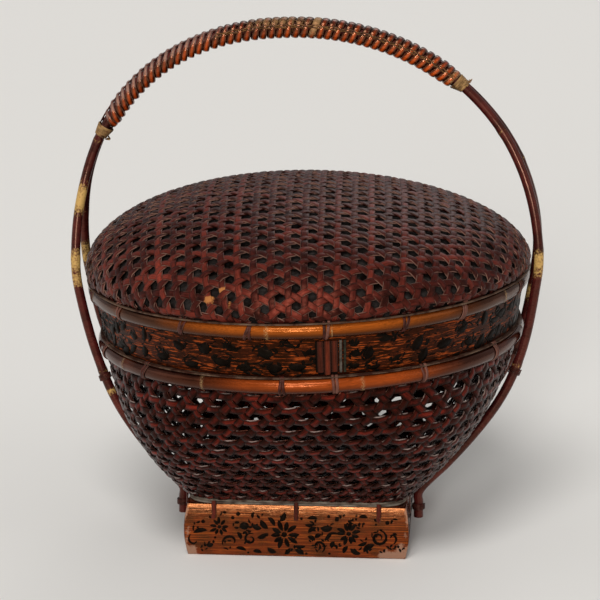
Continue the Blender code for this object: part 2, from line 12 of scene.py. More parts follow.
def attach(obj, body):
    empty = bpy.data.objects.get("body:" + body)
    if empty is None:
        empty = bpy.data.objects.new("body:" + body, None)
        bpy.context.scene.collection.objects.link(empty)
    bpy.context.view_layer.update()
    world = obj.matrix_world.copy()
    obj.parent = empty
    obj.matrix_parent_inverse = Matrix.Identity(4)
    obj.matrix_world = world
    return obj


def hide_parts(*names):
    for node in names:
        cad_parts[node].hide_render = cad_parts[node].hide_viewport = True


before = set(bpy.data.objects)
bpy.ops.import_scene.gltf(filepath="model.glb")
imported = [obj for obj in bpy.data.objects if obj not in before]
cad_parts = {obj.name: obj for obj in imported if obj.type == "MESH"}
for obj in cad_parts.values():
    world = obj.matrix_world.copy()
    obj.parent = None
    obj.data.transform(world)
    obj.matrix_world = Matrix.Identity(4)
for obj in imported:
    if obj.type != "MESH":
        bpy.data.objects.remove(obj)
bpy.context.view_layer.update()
mm = 0.001

# The foot stands level, the rim and all above it lean as one, and the bowl follows in between.
lean = {"angle": 2.2, "pivotHeight": 0.219, "levelBelow": 0.0333, "turnedAbove": 0.1118}
leanTurn = np.array(Matrix.Rotation(math.radians(-lean["angle"]), 3, "Y"))
leanPivot = np.array((0, 0, lean["pivotHeight"]))


def eased(share):
    share = np.clip(share, 0, 1)
    return share * share * (3 - 2 * share)


def settled(points):
    points = np.asarray(points, float)
    share = eased((points[..., 2:] - lean["levelBelow"]) / (lean["turnedAbove"] - lean["levelBelow"]))
    turned = (points - leanPivot) @ leanTurn.T + leanPivot
    return points + (turned - points) * share


def onCircle(radius, around, height):
    radius, around, height = np.broadcast_arrays(radius, np.asarray(around, float), height)
    return np.stack([radius * np.sin(around), -radius * np.cos(around), height], -1)


def path(base, lifted, closed=False, swell=1.0, tone=0.5, mark=0.0):
    base = np.asarray(base, float)
    outward = np.asarray(lifted, float) - base
    outward /= np.linalg.norm(outward, axis=1)[:, None]
    count = len(base)
    return {
        "points": base, "outward": outward, "closed": closed,
        "swell": np.broadcast_to(swell, count), "tone": np.broadcast_to(tone, count),
        "mark": np.broadcast_to(mark, count),
    }


def smoothNoise(seed, values, wavelength):
    shift = random.Random(seed).uniform(0, 1000)
    at = np.asarray(values, float) / wavelength + shift
    return (np.sin(at * 2.1) + 0.6 * np.sin(at * 4.7 + 1.3) + 0.4 * np.sin(at * 9.1 + 0.4)) / 2


def addNode(tree, kind, settings=(), inputs=()):
    node = tree.nodes.new(kind)
    for name, value in dict(settings).items():
        setattr(node, name, value)
    for key, value in dict(inputs).items():
        if isinstance(value, bpy.types.NodeSocket):
            tree.links.new(value, node.inputs[key])
        else:
            node.inputs[key].default_value = value
    return node


def toLinear(hexColour):
    parts = [int(hexColour[i:i + 2], 16) / 255 for i in (1, 3, 5)]
    return (*[p / 12.92 if p <= 0.04045 else ((p + 0.055) / 1.055) ** 2.4 for p in parts], 1)


def makeSweepTree():
    tree = bpy.data.node_groups.new("caneAlongPaths", "GeometryNodeTree")
    face = tree.interface
    face.new_socket("Paths", in_out="INPUT", socket_type="NodeSocketGeometry")
    for name, kind, value in (
        ("Width", "NodeSocketFloat", 0.004), ("Thickness", "NodeSocketFloat", 0.001),
        ("Back Share", "NodeSocketFloat", 1.0), ("Squareness", "NodeSocketFloat", 2.0),
        ("Sides", "NodeSocketInt", 8), ("Ends Filled", "NodeSocketBool", True),
    ):
        face.new_socket(name, in_out="INPUT", socket_type=kind).default_value = value
    face.new_socket("Finish", in_out="INPUT", socket_type="NodeSocketMaterial")
    face.new_socket("Cane", in_out="OUTPUT", socket_type="NodeSocketGeometry")
    given = addNode(tree, "NodeGroupInput").outputs

    # Section: a circle squared up by a power, flattened to width and thickness.
    circle = addNode(tree, "GeometryNodeCurvePrimitiveCircle", inputs={"Resolution": given["Sides"], "Radius": 1.0})
    spot = addNode(tree, "GeometryNodeInputPosition")
    parts = addNode(tree, "ShaderNodeSeparateXYZ", inputs={0: spot.outputs[0]})
    power = addNode(tree, "ShaderNodeMath", {"operation": "DIVIDE"}, {0: 2.0, 1: given["Squareness"]})
    shaped = []
    for axis in (0, 1):
        size = addNode(tree, "ShaderNodeMath", {"operation": "ABSOLUTE"}, {0: parts.outputs[axis]})
        raised = addNode(tree, "ShaderNodeMath", {"operation": "POWER"}, {0: size.outputs[0], 1: power.outputs[0]})
        sign = addNode(tree, "ShaderNodeMath", {"operation": "SIGN"}, {0: parts.outputs[axis]})
        both = addNode(tree, "ShaderNodeMath", {"operation": "MULTIPLY"}, {0: raised.outputs[0], 1: sign.outputs[0]})
        shaped.append(both.outputs[0])
    front = addNode(tree, "ShaderNodeMath", {"operation": "MAXIMUM"}, {0: shaped[0], 1: 0.0})
    rear = addNode(tree, "ShaderNodeMath", {"operation": "MINIMUM"}, {0: shaped[0], 1: 0.0})
    rear = addNode(tree, "ShaderNodeMath", {"operation": "MULTIPLY"}, {0: rear.outputs[0], 1: given["Back Share"]})
    depth = addNode(tree, "ShaderNodeMath", {"operation": "ADD"}, {0: front.outputs[0], 1: rear.outputs[0]})
    depth = addNode(tree, "ShaderNodeMath", {"operation": "MULTIPLY"}, {0: depth.outputs[0], 1: given["Thickness"]})
    half = addNode(tree, "ShaderNodeMath", {"operation": "MULTIPLY"}, {0: given["Width"], 1: 0.5})
    breadth = addNode(tree, "ShaderNodeMath", {"operation": "MULTIPLY"}, {0: shaped[1], 1: half.outputs[0]})
    placed = addNode(tree, "ShaderNodeCombineXYZ", inputs={0: depth.outputs[0], 1: breadth.outputs[0]})
    noted = addNode(
        tree, "GeometryNodeStoreNamedAttribute", {"data_type": "FLOAT", "domain": "POINT"},
        {"Geometry": circle.outputs[0], "Name": "across", "Value": shaped[1]})
    section = addNode(
        tree, "GeometryNodeSetPosition", inputs={"Geometry": noted.outputs[0], "Position": placed.outputs[0]})

    # Each path keeps its own outward direction, and its length is noted for the grain.
    curve = addNode(tree, "GeometryNodeMeshToCurve", inputs={"Mesh": given["Paths"]})
    outward = addNode(tree, "GeometryNodeInputNamedAttribute", {"data_type": "FLOAT_VECTOR"}, {"Name": "outward"})
    turned = addNode(
        tree, "GeometryNodeSetCurveNormal", {"mode": "FREE"},
        {"Curve": curve.outputs[0], "Normal": outward.outputs[0]})
    length = addNode(tree, "GeometryNodeSplineParameter")
    measured = addNode(
        tree, "GeometryNodeStoreNamedAttribute", {"data_type": "FLOAT", "domain": "POINT"},
        {"Geometry": turned.outputs[0], "Name": "along", "Value": length.outputs["Length"]})
    swell = addNode(tree, "GeometryNodeInputNamedAttribute", {"data_type": "FLOAT"}, {"Name": "swell"})
    body = addNode(tree, "GeometryNodeCurveToMesh", inputs={
        "Curve": measured.outputs[0], "Profile Curve": section.outputs[0],
        "Scale": swell.outputs[0], "Fill Caps": given["Ends Filled"]})

    # Grain runs along the piece: x along it, y across it, z tells one strip from the next.
    along = addNode(tree, "GeometryNodeInputNamedAttribute", {"data_type": "FLOAT"}, {"Name": "along"})
    across = addNode(tree, "GeometryNodeInputNamedAttribute", {"data_type": "FLOAT"}, {"Name": "across"})
    tone = addNode(tree, "GeometryNodeInputNamedAttribute", {"data_type": "FLOAT"}, {"Name": "tone"})
    side = addNode(tree, "ShaderNodeMath", {"operation": "MULTIPLY"}, {0: across.outputs[0], 1: half.outputs[0]})
    laid = addNode(
        tree, "ShaderNodeCombineXYZ", inputs={0: along.outputs[0], 1: side.outputs[0], 2: tone.outputs[0]})
    grained = addNode(
        tree, "GeometryNodeStoreNamedAttribute", {"data_type": "FLOAT_VECTOR", "domain": "POINT"},
        {"Geometry": body.outputs[0], "Name": "laid", "Value": laid.outputs[0]})
    smooth = addNode(tree, "GeometryNodeSetShadeSmooth", inputs={"Geometry": grained.outputs[0]})
    whole = addNode(tree, "GeometryNodeRealizeInstances", inputs={"Geometry": smooth.outputs[0]})
    finished = addNode(
        tree, "GeometryNodeSetMaterial", inputs={"Geometry": whole.outputs[0], "Material": given["Finish"]})
    addNode(tree, "NodeGroupOutput", inputs={0: finished.outputs[0]})
    return tree


sweepTree = makeSweepTree()


def swept(name, paths, finish, width, thickness, backShare=1.0, squareness=2.0, sides=8):
    points = np.concatenate([p["points"] for p in paths])
    edges, start = [], 0
    for p in paths:
        count = len(p["points"])
        edges += [(start + i, start + i + 1) for i in range(count - 1)]
        if p["closed"]:
            edges.append((start + count - 1, start))
        start += count
    mesh = bpy.data.meshes.new(name)
    mesh.from_pydata(points.tolist(), edges, [])
    for key in ("swell", "tone", "mark"):
        layer = mesh.attributes.new(key, "FLOAT", "POINT")
        layer.data.foreach_set("value", np.concatenate([p[key] for p in paths]).astype(np.float32))
    layer = mesh.attributes.new("outward", "FLOAT_VECTOR", "POINT")
    layer.data.foreach_set("vector", np.concatenate([p["outward"] for p in paths]).astype(np.float32).ravel())
    lines = bpy.data.objects.new(name, mesh)
    bpy.context.scene.collection.objects.link(lines)
    sweep = lines.modifiers.new("sweep", "NODES")
    sweep.node_group = sweepTree
    values = {
        "Width": width, "Thickness": thickness, "Back Share": backShare, "Squareness": squareness,
        "Sides": sides, "Ends Filled": True, "Finish": finish,
    }
    for item in sweepTree.interface.items_tree:
        if item.name in values:
            sweep[item.identifier] = values[item.name]
    bpy.context.view_layer.update()
    evaluated = lines.evaluated_get(bpy.context.evaluated_depsgraph_get())
    made = bpy.data.meshes.new_from_object(evaluated)
    bpy.data.objects.remove(lines)
    made.name = name
    piece = bpy.data.objects.new(name, made)
    bpy.context.scene.collection.objects.link(piece)
    return piece


def joined(name, pieces):
    for piece in pieces:
        piece.select_set(True)
    with bpy.context.temp_override(
        active_object=pieces[0], object=pieces[0], selected_objects=pieces, selected_editable_objects=pieces):
        bpy.ops.object.join()
    pieces[0].name = pieces[0].data.name = name
    pieces[0].select_set(False)
    return pieces[0]


def solid(name, points, faces, finish, laid=None, mark=None, sharp=40):
    mesh = bpy.data.meshes.new(name)
    mesh.from_pydata(np.asarray(points).tolist(), [], faces)
    for key, values, kind, slot in (("laid", laid, "FLOAT_VECTOR", "vector"), ("mark", mark, "FLOAT", "value")):
        layer = mesh.attributes.new(key, kind, "POINT")
        if values is not None:
            layer.data.foreach_set(slot, np.asarray(values, np.float32).ravel())
    work = bmesh.new()
    work.from_mesh(mesh)
    bmesh.ops.recalc_face_normals(work, faces=work.faces)
    work.to_mesh(mesh)
    work.free()
    mesh.shade_smooth()
    mesh.set_sharp_from_angle(angle=math.radians(sharp))
    mesh.materials.append(finish)
    piece = bpy.data.objects.new(name, mesh)
    bpy.context.scene.collection.objects.link(piece)
    return piece


def turnedRing(name, section, finish, segments=192, wobble=0.0, seed=1, sharp=40):
    section = np.asarray(section, float)
    count = len(section)
    points, laid, faces = [], [], []
    for i in range(segments):
        around = 2 * math.pi * i / segments
        stray = wobble * smoothNoise(seed, math.cos(around) * 0.12 + math.sin(2 * around) * 0.05, 0.03)
        points.append(onCircle(section[:, 0] + stray, around, section[:, 1]))
        turn = around if around <= math.pi else around - 2 * math.pi
        laid.append([(turn * r, z, 0.5) for r, z in section])
        after = (i + 1) % segments
        for k in range(count):
            other = (k + 1) % count
            faces.append((i * count + k, i * count + other, after * count + other, after * count + k))
    return solid(name, settled(np.concatenate(points)), faces, finish, np.concatenate(laid), sharp=sharp)


def dress(piece, body, slot, *nodes):
    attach(piece, body)
    if nodes:
        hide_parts(*nodes)


# Finishes.

def lacquerFinish(name, look):
    material = bpy.data.materials.new(name)
    material.use_nodes = True
    tree = material.node_tree
    shader = tree.nodes["Principled BSDF"]
    place = addNode(tree, "ShaderNodeTexCoord").outputs["Object"]
    laid = addNode(tree, "ShaderNodeAttribute", {"attribute_name": "laid"}).outputs["Vector"]
    across = addNode(tree, "ShaderNodeAttribute", {"attribute_name": "across"}).outputs["Fac"]
    mark = addNode(tree, "ShaderNodeAttribute", {"attribute_name": "mark"}).outputs["Fac"]
    tone = addNode(tree, "ShaderNodeSeparateXYZ", inputs={0: laid}).outputs[2]

    # Blotches where the lacquer has darkened, then the colour that each strip has of its own.
    cloud = addNode(tree, "ShaderNodeTexNoise", inputs={
        "Vector": place, "Scale": 1 / (look["blotch"] * mm), "Detail": 4.0, "Roughness": 0.6}).outputs[0]
    cloud = addNode(tree, "ShaderNodeMapRange", inputs={0: cloud, 1: 0.38, 2: 0.62}).outputs[0]
    colour = addNode(tree, "ShaderNodeMix", {"data_type": "RGBA"}, {
        0: cloud, 6: toLinear(look["deep"]), 7: toLinear(look["main"])}).outputs[2]
    bright = addNode(tree, "ShaderNodeMapRange", inputs={0: tone, 1: look["brightFrom"], 2: look["brightTo"]}).outputs[0]
    colour = addNode(tree, "ShaderNodeMix", {"data_type": "RGBA"}, {
        0: bright, 6: colour, 7: toLinear(look["bright"])}).outputs[2]

    # Grain runs along the strip.
    stretched = addNode(tree, "ShaderNodeVectorMath", {"operation": "MULTIPLY"}, {
        0: laid, 1: (1 / (look["grainLength"] * mm), 1 / (look["grainWidth"] * mm), 41.0)}).outputs[0]
    grain = addNode(tree, "ShaderNodeTexNoise", inputs={
        "Vector": stretched, "Scale": 1.0, "Detail": 3.0, "Roughness": 0.65}).outputs[0]
    shade = addNode(tree, "ShaderNodeMapRange", inputs={
        0: grain, 1: 0.3, 2: 0.7, 3: 1 - look["grainDepth"], 4: 1 + look["grainDepth"]}).outputs[0]
    colour = addNode(tree, "ShaderNodeVectorMath", {"operation": "SCALE"}, {0: colour, "Scale": shade}).outputs[0]

    # Bright level streaks where the ground shows between brushed lines.
    streak = addNode(tree, "ShaderNodeMapRange", inputs={0: grain, 1: 0.54, 2: 0.64, 4: look["streak"]}).outputs[0]
    colour = addNode(tree, "ShaderNodeMix", {"data_type": "RGBA"}, {
        0: streak, 6: colour, 7: toLinear(look["streakColour"])}).outputs[2]

    # Painted shade: the lower half of a hoop is darkened towards near-black, as if lit only from above.
    shadow = addNode(tree, "ShaderNodeMapRange", inputs={
        0: across, 1: look["lowerFrom"], 2: look["lowerTo"], 4: look["lower"]}).outputs[0]
    colour = addNode(tree, "ShaderNodeMix", {"data_type": "RGBA"}, {
        0: shadow, 6: colour, 7: toLinear(look["lowerShadeColour"])}).outputs[2]

    # Painted shade darkens the sides of a strip towards near-black, as in the shadow of the gaps beside it, and its
    # very edges are rubbed back to bare cane.
    edge = addNode(tree, "ShaderNodeMath", {"operation": "ABSOLUTE"}, {0: across}).outputs[0]
    edgeShade = addNode(tree, "ShaderNodeMapRange", inputs={
        0: edge, 1: look["edgeShadeFrom"], 2: look["edgeShadeFrom"] + 0.5, 4: look["edgeShade"]}).outputs[0]
    colour = addNode(tree, "ShaderNodeMix", {"data_type": "RGBA"}, {
        0: edgeShade, 6: colour, 7: toLinear(look["edgeShadeColour"])}).outputs[2]
    edge = addNode(tree, "ShaderNodeMapRange", inputs={0: edge, 1: look["edgeFrom"], 2: 0.97}).outputs[0]
    patch = addNode(tree, "ShaderNodeTexNoise", inputs={
        "Vector": place, "Scale": 1 / (look["wearPatch"] * mm), "Detail": 3.0}).outputs[0]
    patch = addNode(tree, "ShaderNodeMapRange", inputs={0: patch, 1: 0.42, 2: 0.58}).outputs[0]
    edge = addNode(tree, "ShaderNodeMath", {"operation": "MULTIPLY"}, {0: edge, 1: patch}).outputs[0]
    edge = addNode(tree, "ShaderNodeMath", {"operation": "MULTIPLY"}, {0: edge, 1: look["edge"]}).outputs[0]
    colour = addNode(tree, "ShaderNodeMix", {"data_type": "RGBA"}, {
        0: edge, 6: colour, 7: toLinear(look["pale"])}).outputs[2]

    # Marked places: dust, bare patches, nodes of the bamboo, and on the bowl pale upper edges that are partly rubbed
    # and partly a painted highlight.
    speckle = addNode(tree, "ShaderNodeTexNoise", inputs={
        "Vector": place, "Scale": 1 / (look["markGrain"] * mm), "Detail": 4.0, "Roughness": 0.7}).outputs[0]
    amount = addNode(tree, "ShaderNodeMath", {"operation": "ADD"}, {0: speckle, 1: mark}).outputs[0]
    amount = addNode(tree, "ShaderNodeMapRange", inputs={
        0: amount, 1: look["markFrom"], 2: look["markFrom"] + 0.22, 4: look["markMost"]}).outputs[0]
    gate = addNode(tree, "ShaderNodeMath", {"operation": "GREATER_THAN"}, {0: mark, 1: 0.02}).outputs[0]
    amount = addNode(tree, "ShaderNodeMath", {"operation": "MULTIPLY"}, {0: amount, 1: gate}).outputs[0]
    upper = addNode(tree, "ShaderNodeMapRange", inputs={
        0: across, 1: look["markAbove"] - 0.2, 2: look["markAbove"], 3: 1.0, 4: 0.0}).outputs[0]
    amount = addNode(tree, "ShaderNodeMath", {"operation": "MULTIPLY"}, {0: amount, 1: upper}).outputs[0]
    colour = addNode(tree, "ShaderNodeMix", {"data_type": "RGBA"}, {
        0: amount, 6: colour, 7: toLinear(look["markColour"])}).outputs[2]
    tree.links.new(colour, shader.inputs["Base Color"])

    worn = addNode(tree, "ShaderNodeMath", {"operation": "MAXIMUM"}, {0: edge, 1: amount}).outputs[0]
    rough = addNode(tree, "ShaderNodeMapRange", inputs={
        0: grain, 1: 0.3, 2: 0.7, 3: look["rough"] - 0.08, 4: look["rough"] + 0.08}).outputs[0]
    rough = addNode(tree, "ShaderNodeMath", {"operation": "MULTIPLY_ADD"}, {0: worn, 1: 0.3, 2: rough}).outputs[0]
    tree.links.new(rough, shader.inputs["Roughness"])
    height = addNode(tree, "ShaderNodeMath", {"operation": "MULTIPLY_ADD"}, {0: worn, 1: -0.5, 2: grain}).outputs[0]
    bump = addNode(tree, "ShaderNodeBump", inputs={
        "Strength": look["bump"], "Distance": look["bumpDepth"] * mm, "Height": height}).outputs[0]
    tree.links.new(bump, shader.inputs["Normal"])
    shader.inputs["Coat Weight"].default_value = look["coat"]
    shader.inputs["Coat Roughness"].default_value = look["coatRough"]
    shader.inputs["IOR"].default_value = 1.5
    shader.inputs["Specular IOR Level"].default_value = look["gloss"]
    shader.inputs["Specular Tint"].default_value = toLinear(look["glossColour"])
    return material


plainLook = {
    "deep": "#3a120e", "main": "#5a2018", "bright": "#7c3424", "brightFrom": 0.6, "brightTo": 1.4,
    "blotch": 14, "grainLength": 18, "grainWidth": 0.45, "grainDepth": 0.18,
    "streak": 0.0, "streakColour": "#a8421e",
    "lower": 0.0, "lowerFrom": 0.1, "lowerTo": 0.9, "lowerShadeColour": "#1c0a06",
    "edgeShade": 0.0, "edgeShadeFrom": 0.35, "edgeShadeColour": "#080302",
    "edge": 0.0, "edgeFrom": 0.7, "pale": "#94796a", "wearPatch": 5,
    "markColour": "#c8a878", "markGrain": 1.5, "markFrom": 0.75, "markMost": 0.9, "markAbove": 1.3,
    "rough": 0.42, "bump": 0.35, "bumpDepth": 0.25, "coat": 0.08, "coatRough": 0.25,
    "gloss": 0.22, "glossColour": "#f4b89a",
}
# Split bamboo under old dark lacquer: deep maroon, glossy where it is whole, grey-tan where strips rub.
domeFinish = lacquerFinish("agedLacquerOnDomeWeave", plainLook | {
    "deep": "#180706", "main": "#3b1410", "bright": "#883628", "brightFrom": 0.5, "brightTo": 1.15,
    "grainLength": 7, "grainWidth": 0.8, "grainDepth": 0.45, "blotch": 7, "edgeShade": 0.85, "edgeShadeFrom": 0.45, "edge": 0.7, "edgeFrom": 0.8, "pale": "#8a685a", "wearPatch": 6,
    "markColour": "#a86c3a", "markGrain": 0.9, "markFrom": 0.9, "markMost": 0.9, "rough": 0.38,
    "gloss": 0.30, "glossColour": "#ff9478", "coat": 0.0,
})
bowlLook = plainLook | {
    "deep": "#0c0302", "main": "#380e0a", "bright": "#7a2418", "brightFrom": 0.45, "brightTo": 1.2,
    "grainLength": 5, "grainWidth": 0.9, "grainDepth": 0.6, "blotch": 4, "edgeShade": 0.96, "edgeShadeFrom": 0.2, "edge": 0.0, "markGrain": 2.0, "markMost": 0.85,
    "markAbove": -0.72, "rough": 0.26, "gloss": 0.22, "glossColour": "#ff9a7c", "coat": 0.0,
}
# On the bowl the marks show only along the strips' upper edges: pale rubbed cane, and a painted highlight where those
# edges face the light.
bowlFinish = lacquerFinish("agedLacquerOnBowlSlants", bowlLook | {"markColour": "#7d6a62", "markFrom": 0.8})
bowlRingFinish = lacquerFinish("agedLacquerOnBowlRings", bowlLook | {"markColour": "#94827a", "markFrom": 0.78})
# Polished half-round bamboo with a wet gloss, painted with light and shade: amber orange in a lit band round the front,
# almost brown-black round the sides and on its lower side.
hoopLook = plainLook | {
    "deep": "#130603", "main": "#200b05", "bright": "#9c4c14", "brightFrom": 0.12, "brightTo": 0.95,
    "blotch": 20, "grainLength": 30, "grainWidth": 0.5, "grainDepth": 0.35,
    "lower": 0.94, "lowerFrom": -0.35, "lowerTo": 0.5, "lowerShadeColour": "#140603",
    "edge": 0.25, "edgeFrom": 0.9, "pale": "#6e4e32", "markColour": "#9c7c52", "markGrain": 0.8, "markFrom": 0.88,
    "rough": 0.17, "coat": 0.0, "bump": 0.3, "gloss": 0.7, "glossColour": "#ff9c58",
}
hoopFinish = lacquerFinish("polishedOrangeLacquerOnBamboo", hoopLook)
rimFinish = lacquerFinish("polishedRedLacquerOnBamboo", hoopLook | {
    "deep": "#130604", "main": "#200a06", "bright": "#8e3c12", "lower": 0.9, "lowerFrom": -0.2,
    "lowerTo": 0.65, "pale": "#644430", "markColour": "#8e7450", "glossColour": "#ff9460",
})
# Maroon lacquer on whole cane: duller and pinker than the hoops, gilt or bare where a hand has rubbed it.
rodFinish = lacquerFinish("maroonLacquerOnCane", plainLook | {
    "deep": "#2a0d0c", "main": "#461614", "bright": "#6e302a", "brightFrom": 0.55, "brightTo": 1.2,
    "blotch": 9, "grainLength": 22, "grainWidth": 0.6, "grainDepth": 0.2,
    "markColour": "#c09a58", "markGrain": 1.2, "markFrom": 0.82, "rough": 0.28, "coat": 0.0, "gloss": 0.5,
})
# Bare split cane: warm grey-tan and dull, with dirt along the grain.
caneFinish = lacquerFinish("bareSplitCane", plainLook | {
    "deep": "#2c1c10", "main": "#7a5a38", "bright": "#b08a58", "brightFrom": 0.3, "brightTo": 1.1,
    "blotch": 2.5, "grainLength": 9, "grainWidth": 0.35, "grainDepth": 0.5,
    "edge": 0.3, "pale": "#b8a283", "markColour": "#6b2a20", "markFrom": 0.8,
    "rough": 0.6, "coat": 0.0, "bump": 0.5,
})
# Cane wound on the grip: red-orange lacquer polished by hands, bare on top and at the edges of each turn, with painted
# shade down both sides of each turn.
gripLook = plainLook | {
    "deep": "#300c05", "main": "#6a1c0a", "bright": "#c04c16", "brightFrom": 0.4, "brightTo": 1.0,
    "blotch": 3, "grainLength": 5, "grainWidth": 0.5, "grainDepth": 0.4,
    "edgeShade": 0.93, "edgeShadeFrom": 0.1, "edge": 0.15, "edgeFrom": 0.85, "pale": "#7d5a40", "wearPatch": 3,
    "markColour": "#8e6c44", "markGrain": 0.9, "markFrom": 0.82, "markMost": 0.85, "rough": 0.17, "coat": 0.0,
    "gloss": 1.0, "glossColour": "#ffb88c",
}
gripFinish = lacquerFinish("handPolishedLacquerOnCane", gripLook)
wornGripFinish = lacquerFinish("greyWornLacquerOnCane", gripLook | {"markColour": "#7c6058", "markFrom": 0.75})
leaderFinish = lacquerFinish("tanCaneLeader", plainLook | {
    "deep": "#3c2414", "main": "#76502a", "bright": "#9c7440", "blotch": 2.5, "grainLength": 6, "rough": 0.35,
    "edgeShade": 0.5})
# Painted lacquer: dark ground with red-orange level streaks, rubbed thin and patchy.
skirtFinish = lacquerFinish("paintedRedLacquerOnSkirt", plainLook | {
    "deep": "#100502", "main": "#2a0e06", "bright": "#5a2410", "brightFrom": 0.45, "brightTo": 1.4,
    "blotch": 9, "grainLength": 7, "grainWidth": 0.7, "grainDepth": 0.4, "streak": 0.8,
    "streakColour": "#a0461a", "rough": 0.5, "gloss": 0.16, "glossColour": "#ffa060", "coat": 0.0, "bump": 0.4,
    "bumpDepth": 0.3,
})
boardFinish = lacquerFinish("paintedOrangeLacquerOnBamboo", plainLook | {
    "deep": "#220803", "main": "#541806", "bright": "#84330f", "brightFrom": 0.45, "brightTo": 1.4,
    "blotch": 10, "grainLength": 26, "grainWidth": 0.55, "grainDepth": 0.55, "streak": 0.45,
    "streakColour": "#a04e16", "markColour": "#8a6a58", "markGrain": 2.6, "markFrom": 0.62,
    "rough": 0.2, "coat": 0.0, "bump": 0.35, "gloss": 1.0, "glossColour": "#ffa468",
})
# Brushed black lacquer, thin, greenish where it is dusty.
inkFinish = lacquerFinish("brushedBlackLacquer", plainLook | {
    "deep": "#050403", "main": "#0c0a07", "bright": "#16130e", "blotch": 4, "grainLength": 6, "grainDepth": 0.3,
    "rough": 0.45, "coat": 0.0, "bump": 0.3, "gloss": 0.06,
})
# Backing seen through the holes of the dome: an inner layer with painted shade, near-black in one hole and grey in the
# next.
liningFinish = lacquerFinish("paintedShadeLining", plainLook | {
    "deep": "#030202", "main": "#2c2927", "bright": "#2c2927", "brightFrom": 2.0, "brightTo": 3.0,
    "blotch": 8, "grainLength": 7, "grainWidth": 1.3, "grainDepth": 0.45, "rough": 0.8, "coat": 0.0, "gloss": 0.1,
})
print("finishes ready")

# Lid: the dome's weave, laid out on a flat disc whose radius is the distance from the crown along the dome.
dome = {
    "radius": 126.3 * mm, "rise": 46.2 * mm, "spring": 155.3 * mm, "lipRadius": 123.4 * mm, "lipHeight": 151.6 * mm,
    "spacing": 9.15 * mm, "turn": 2.58, "middle": (5.36 * mm, 6.46 * mm), "stripWidth": 3.9 * mm,
    "stripHalfThickness": 0.50 * mm, "depth": 1.15 * mm, "wave": 0.56 * mm, "liningDepth": 3.4 * mm,
}


def domeProfile():
    angle = np.linspace(math.pi / 2, 0, 300)
    radius = np.append(dome["radius"] * np.cos(angle), dome["lipRadius"])
    height = np.append(dome["spring"] + dome["rise"] * np.sin(angle), dome["lipHeight"])
    outX = np.append(np.cos(angle) / dome["radius"], 1 / dome["radius"])
    outZ = np.append(np.sin(angle) / dome["rise"], -0.8 / dome["radius"])
    size = np.hypot(outX, outZ)
    reach = np.concatenate([[0], np.cumsum(np.hypot(np.diff(radius), np.diff(height)))])
    return reach, radius, height, outX / size, outZ / size


domeReach, domeRadius, domeHeight, domeOutX, domeOutZ = domeProfile()


def onDome(flat, lift):
    flat = np.asarray(flat, float)
    reach = np.hypot(flat[..., 0], flat[..., 1])
    around = np.arctan2(flat[..., 0], -flat[..., 1])
    height = np.interp(reach, domeReach, domeHeight)
    level = np.sqrt(np.clip((height - dome["spring"]) / dome["rise"], 0, 1)) * math.tan(math.radians(lean["angle"]))
    radius = np.interp(reach, domeReach, domeRadius) + np.interp(reach, domeReach, domeOutX) * lift
    points = onCircle(radius, around, height + np.interp(reach, domeReach, domeOutZ) * lift)
    points[..., 2] -= points[..., 0] * level
    return settled(points)


def spot(flat, middle, spread, most):
    return most * np.exp(-((flat[:, 0] / mm - middle[0]) / spread[0]) ** 2 - ((flat[:, 1] / mm - middle[1]) / spread[1]) ** 2)


def buildDome():
    chance = random.Random(11)
    paths = []
    limit = domeReach[-1]
    middle = np.array(dome["middle"])
    step = dome["spacing"] / math.sqrt(3)
    directions = []
    for family in range(3):
        angle = math.radians(dome["turn"] + 60 * family)
        directions.append((np.array((math.cos(angle), math.sin(angle))), np.array((-math.sin(angle), math.cos(angle)))))
    for family, (normal, along) in enumerate(directions):
        over = directions[(family + 1) % 3][0]
        for line in range(-18, 18):
            offset = (line + 0.5) * dome["spacing"]
            foot = middle + normal * offset
            half = (foot @ along) ** 2 - foot @ foot + limit ** 2
            if half < (4 * mm) ** 2:
                continue
            near, far = -(foot @ along) - math.sqrt(half), -(foot @ along) + math.sqrt(half)
            crossing = (0.5 * dome["spacing"] - offset * (over @ normal)) / (over @ along)
            first = math.ceil((near - crossing) / step * 2 + 0.3)
            last = math.floor((far - crossing) / step * 2 - 0.3)
            at = np.array([near] + [crossing + k * step / 2 for k in range(first, last + 1)] + [far])
            lift = dome["wave"] * np.cos(math.pi * (at - crossing) / step) - dome["depth"]
            stray = chance.uniform(-0.3, 0.3) * mm + 0.3 * mm * smoothNoise(chance.random(), at, 0.045)
            flat = foot + np.outer(at, along) + np.outer(stray, normal)
            tone = chance.uniform(0.25, 0.75) + sum(spot(flat, *patch) for patch in dome["rubbed"])
            bare = sum(spot(flat, *patch) for patch in dome["bare"])
            width = chance.uniform(0.92, 1.08) * (1 + 0.08 * smoothNoise(chance.random(), at, 0.03))
            paths.append(path(onDome(flat, lift), onDome(flat, lift + mm), swell=width, tone=tone, mark=bare))
    weave = swept(
        "domeWeave", paths, domeFinish, dome["stripWidth"], dome["stripHalfThickness"], squareness=3.4, sides=10)
    dress(weave, "lid", "dark_weave", "lid_dome_weave")

    reaches = np.linspace(2 * mm, domeReach[-2], 26)
    around = np.linspace(0, 2 * math.pi, 72, endpoint=False)
    flats = [np.stack([reach * np.sin(around), -reach * np.cos(around)], -1) for reach in reaches]
    rings = [onDome(flat, -dome["liningDepth"]) for flat in flats]
    rings += [settled(onCircle(radius * mm, around, 151.2 * mm)) for radius in (120.9, 120.4)]
    rings += [onDome(flat, -dome["liningDepth"] - 0.5 * mm) for flat in flats[::-1]]
    laid = [(x, y, 0.5) for flat in flats + flats[-1:] + flats[-1:] + flats[::-1] for x, y in flat]
    faces = []
    count = len(around)
    for row in range(len(rings) - 1):
        for i in range(count):
            after = (i + 1) % count
            faces.append((row * count + i, row * count + after, (row + 1) * count + after, (row + 1) * count + i))
    faces.append(tuple(range(count)))
    faces.append(tuple(range((len(rings) - 1) * count, len(rings) * count)))
    lining = solid("domeLining", np.concatenate(rings), faces, liningFinish, laid)
    dress(lining, "lid", "dark_weave")
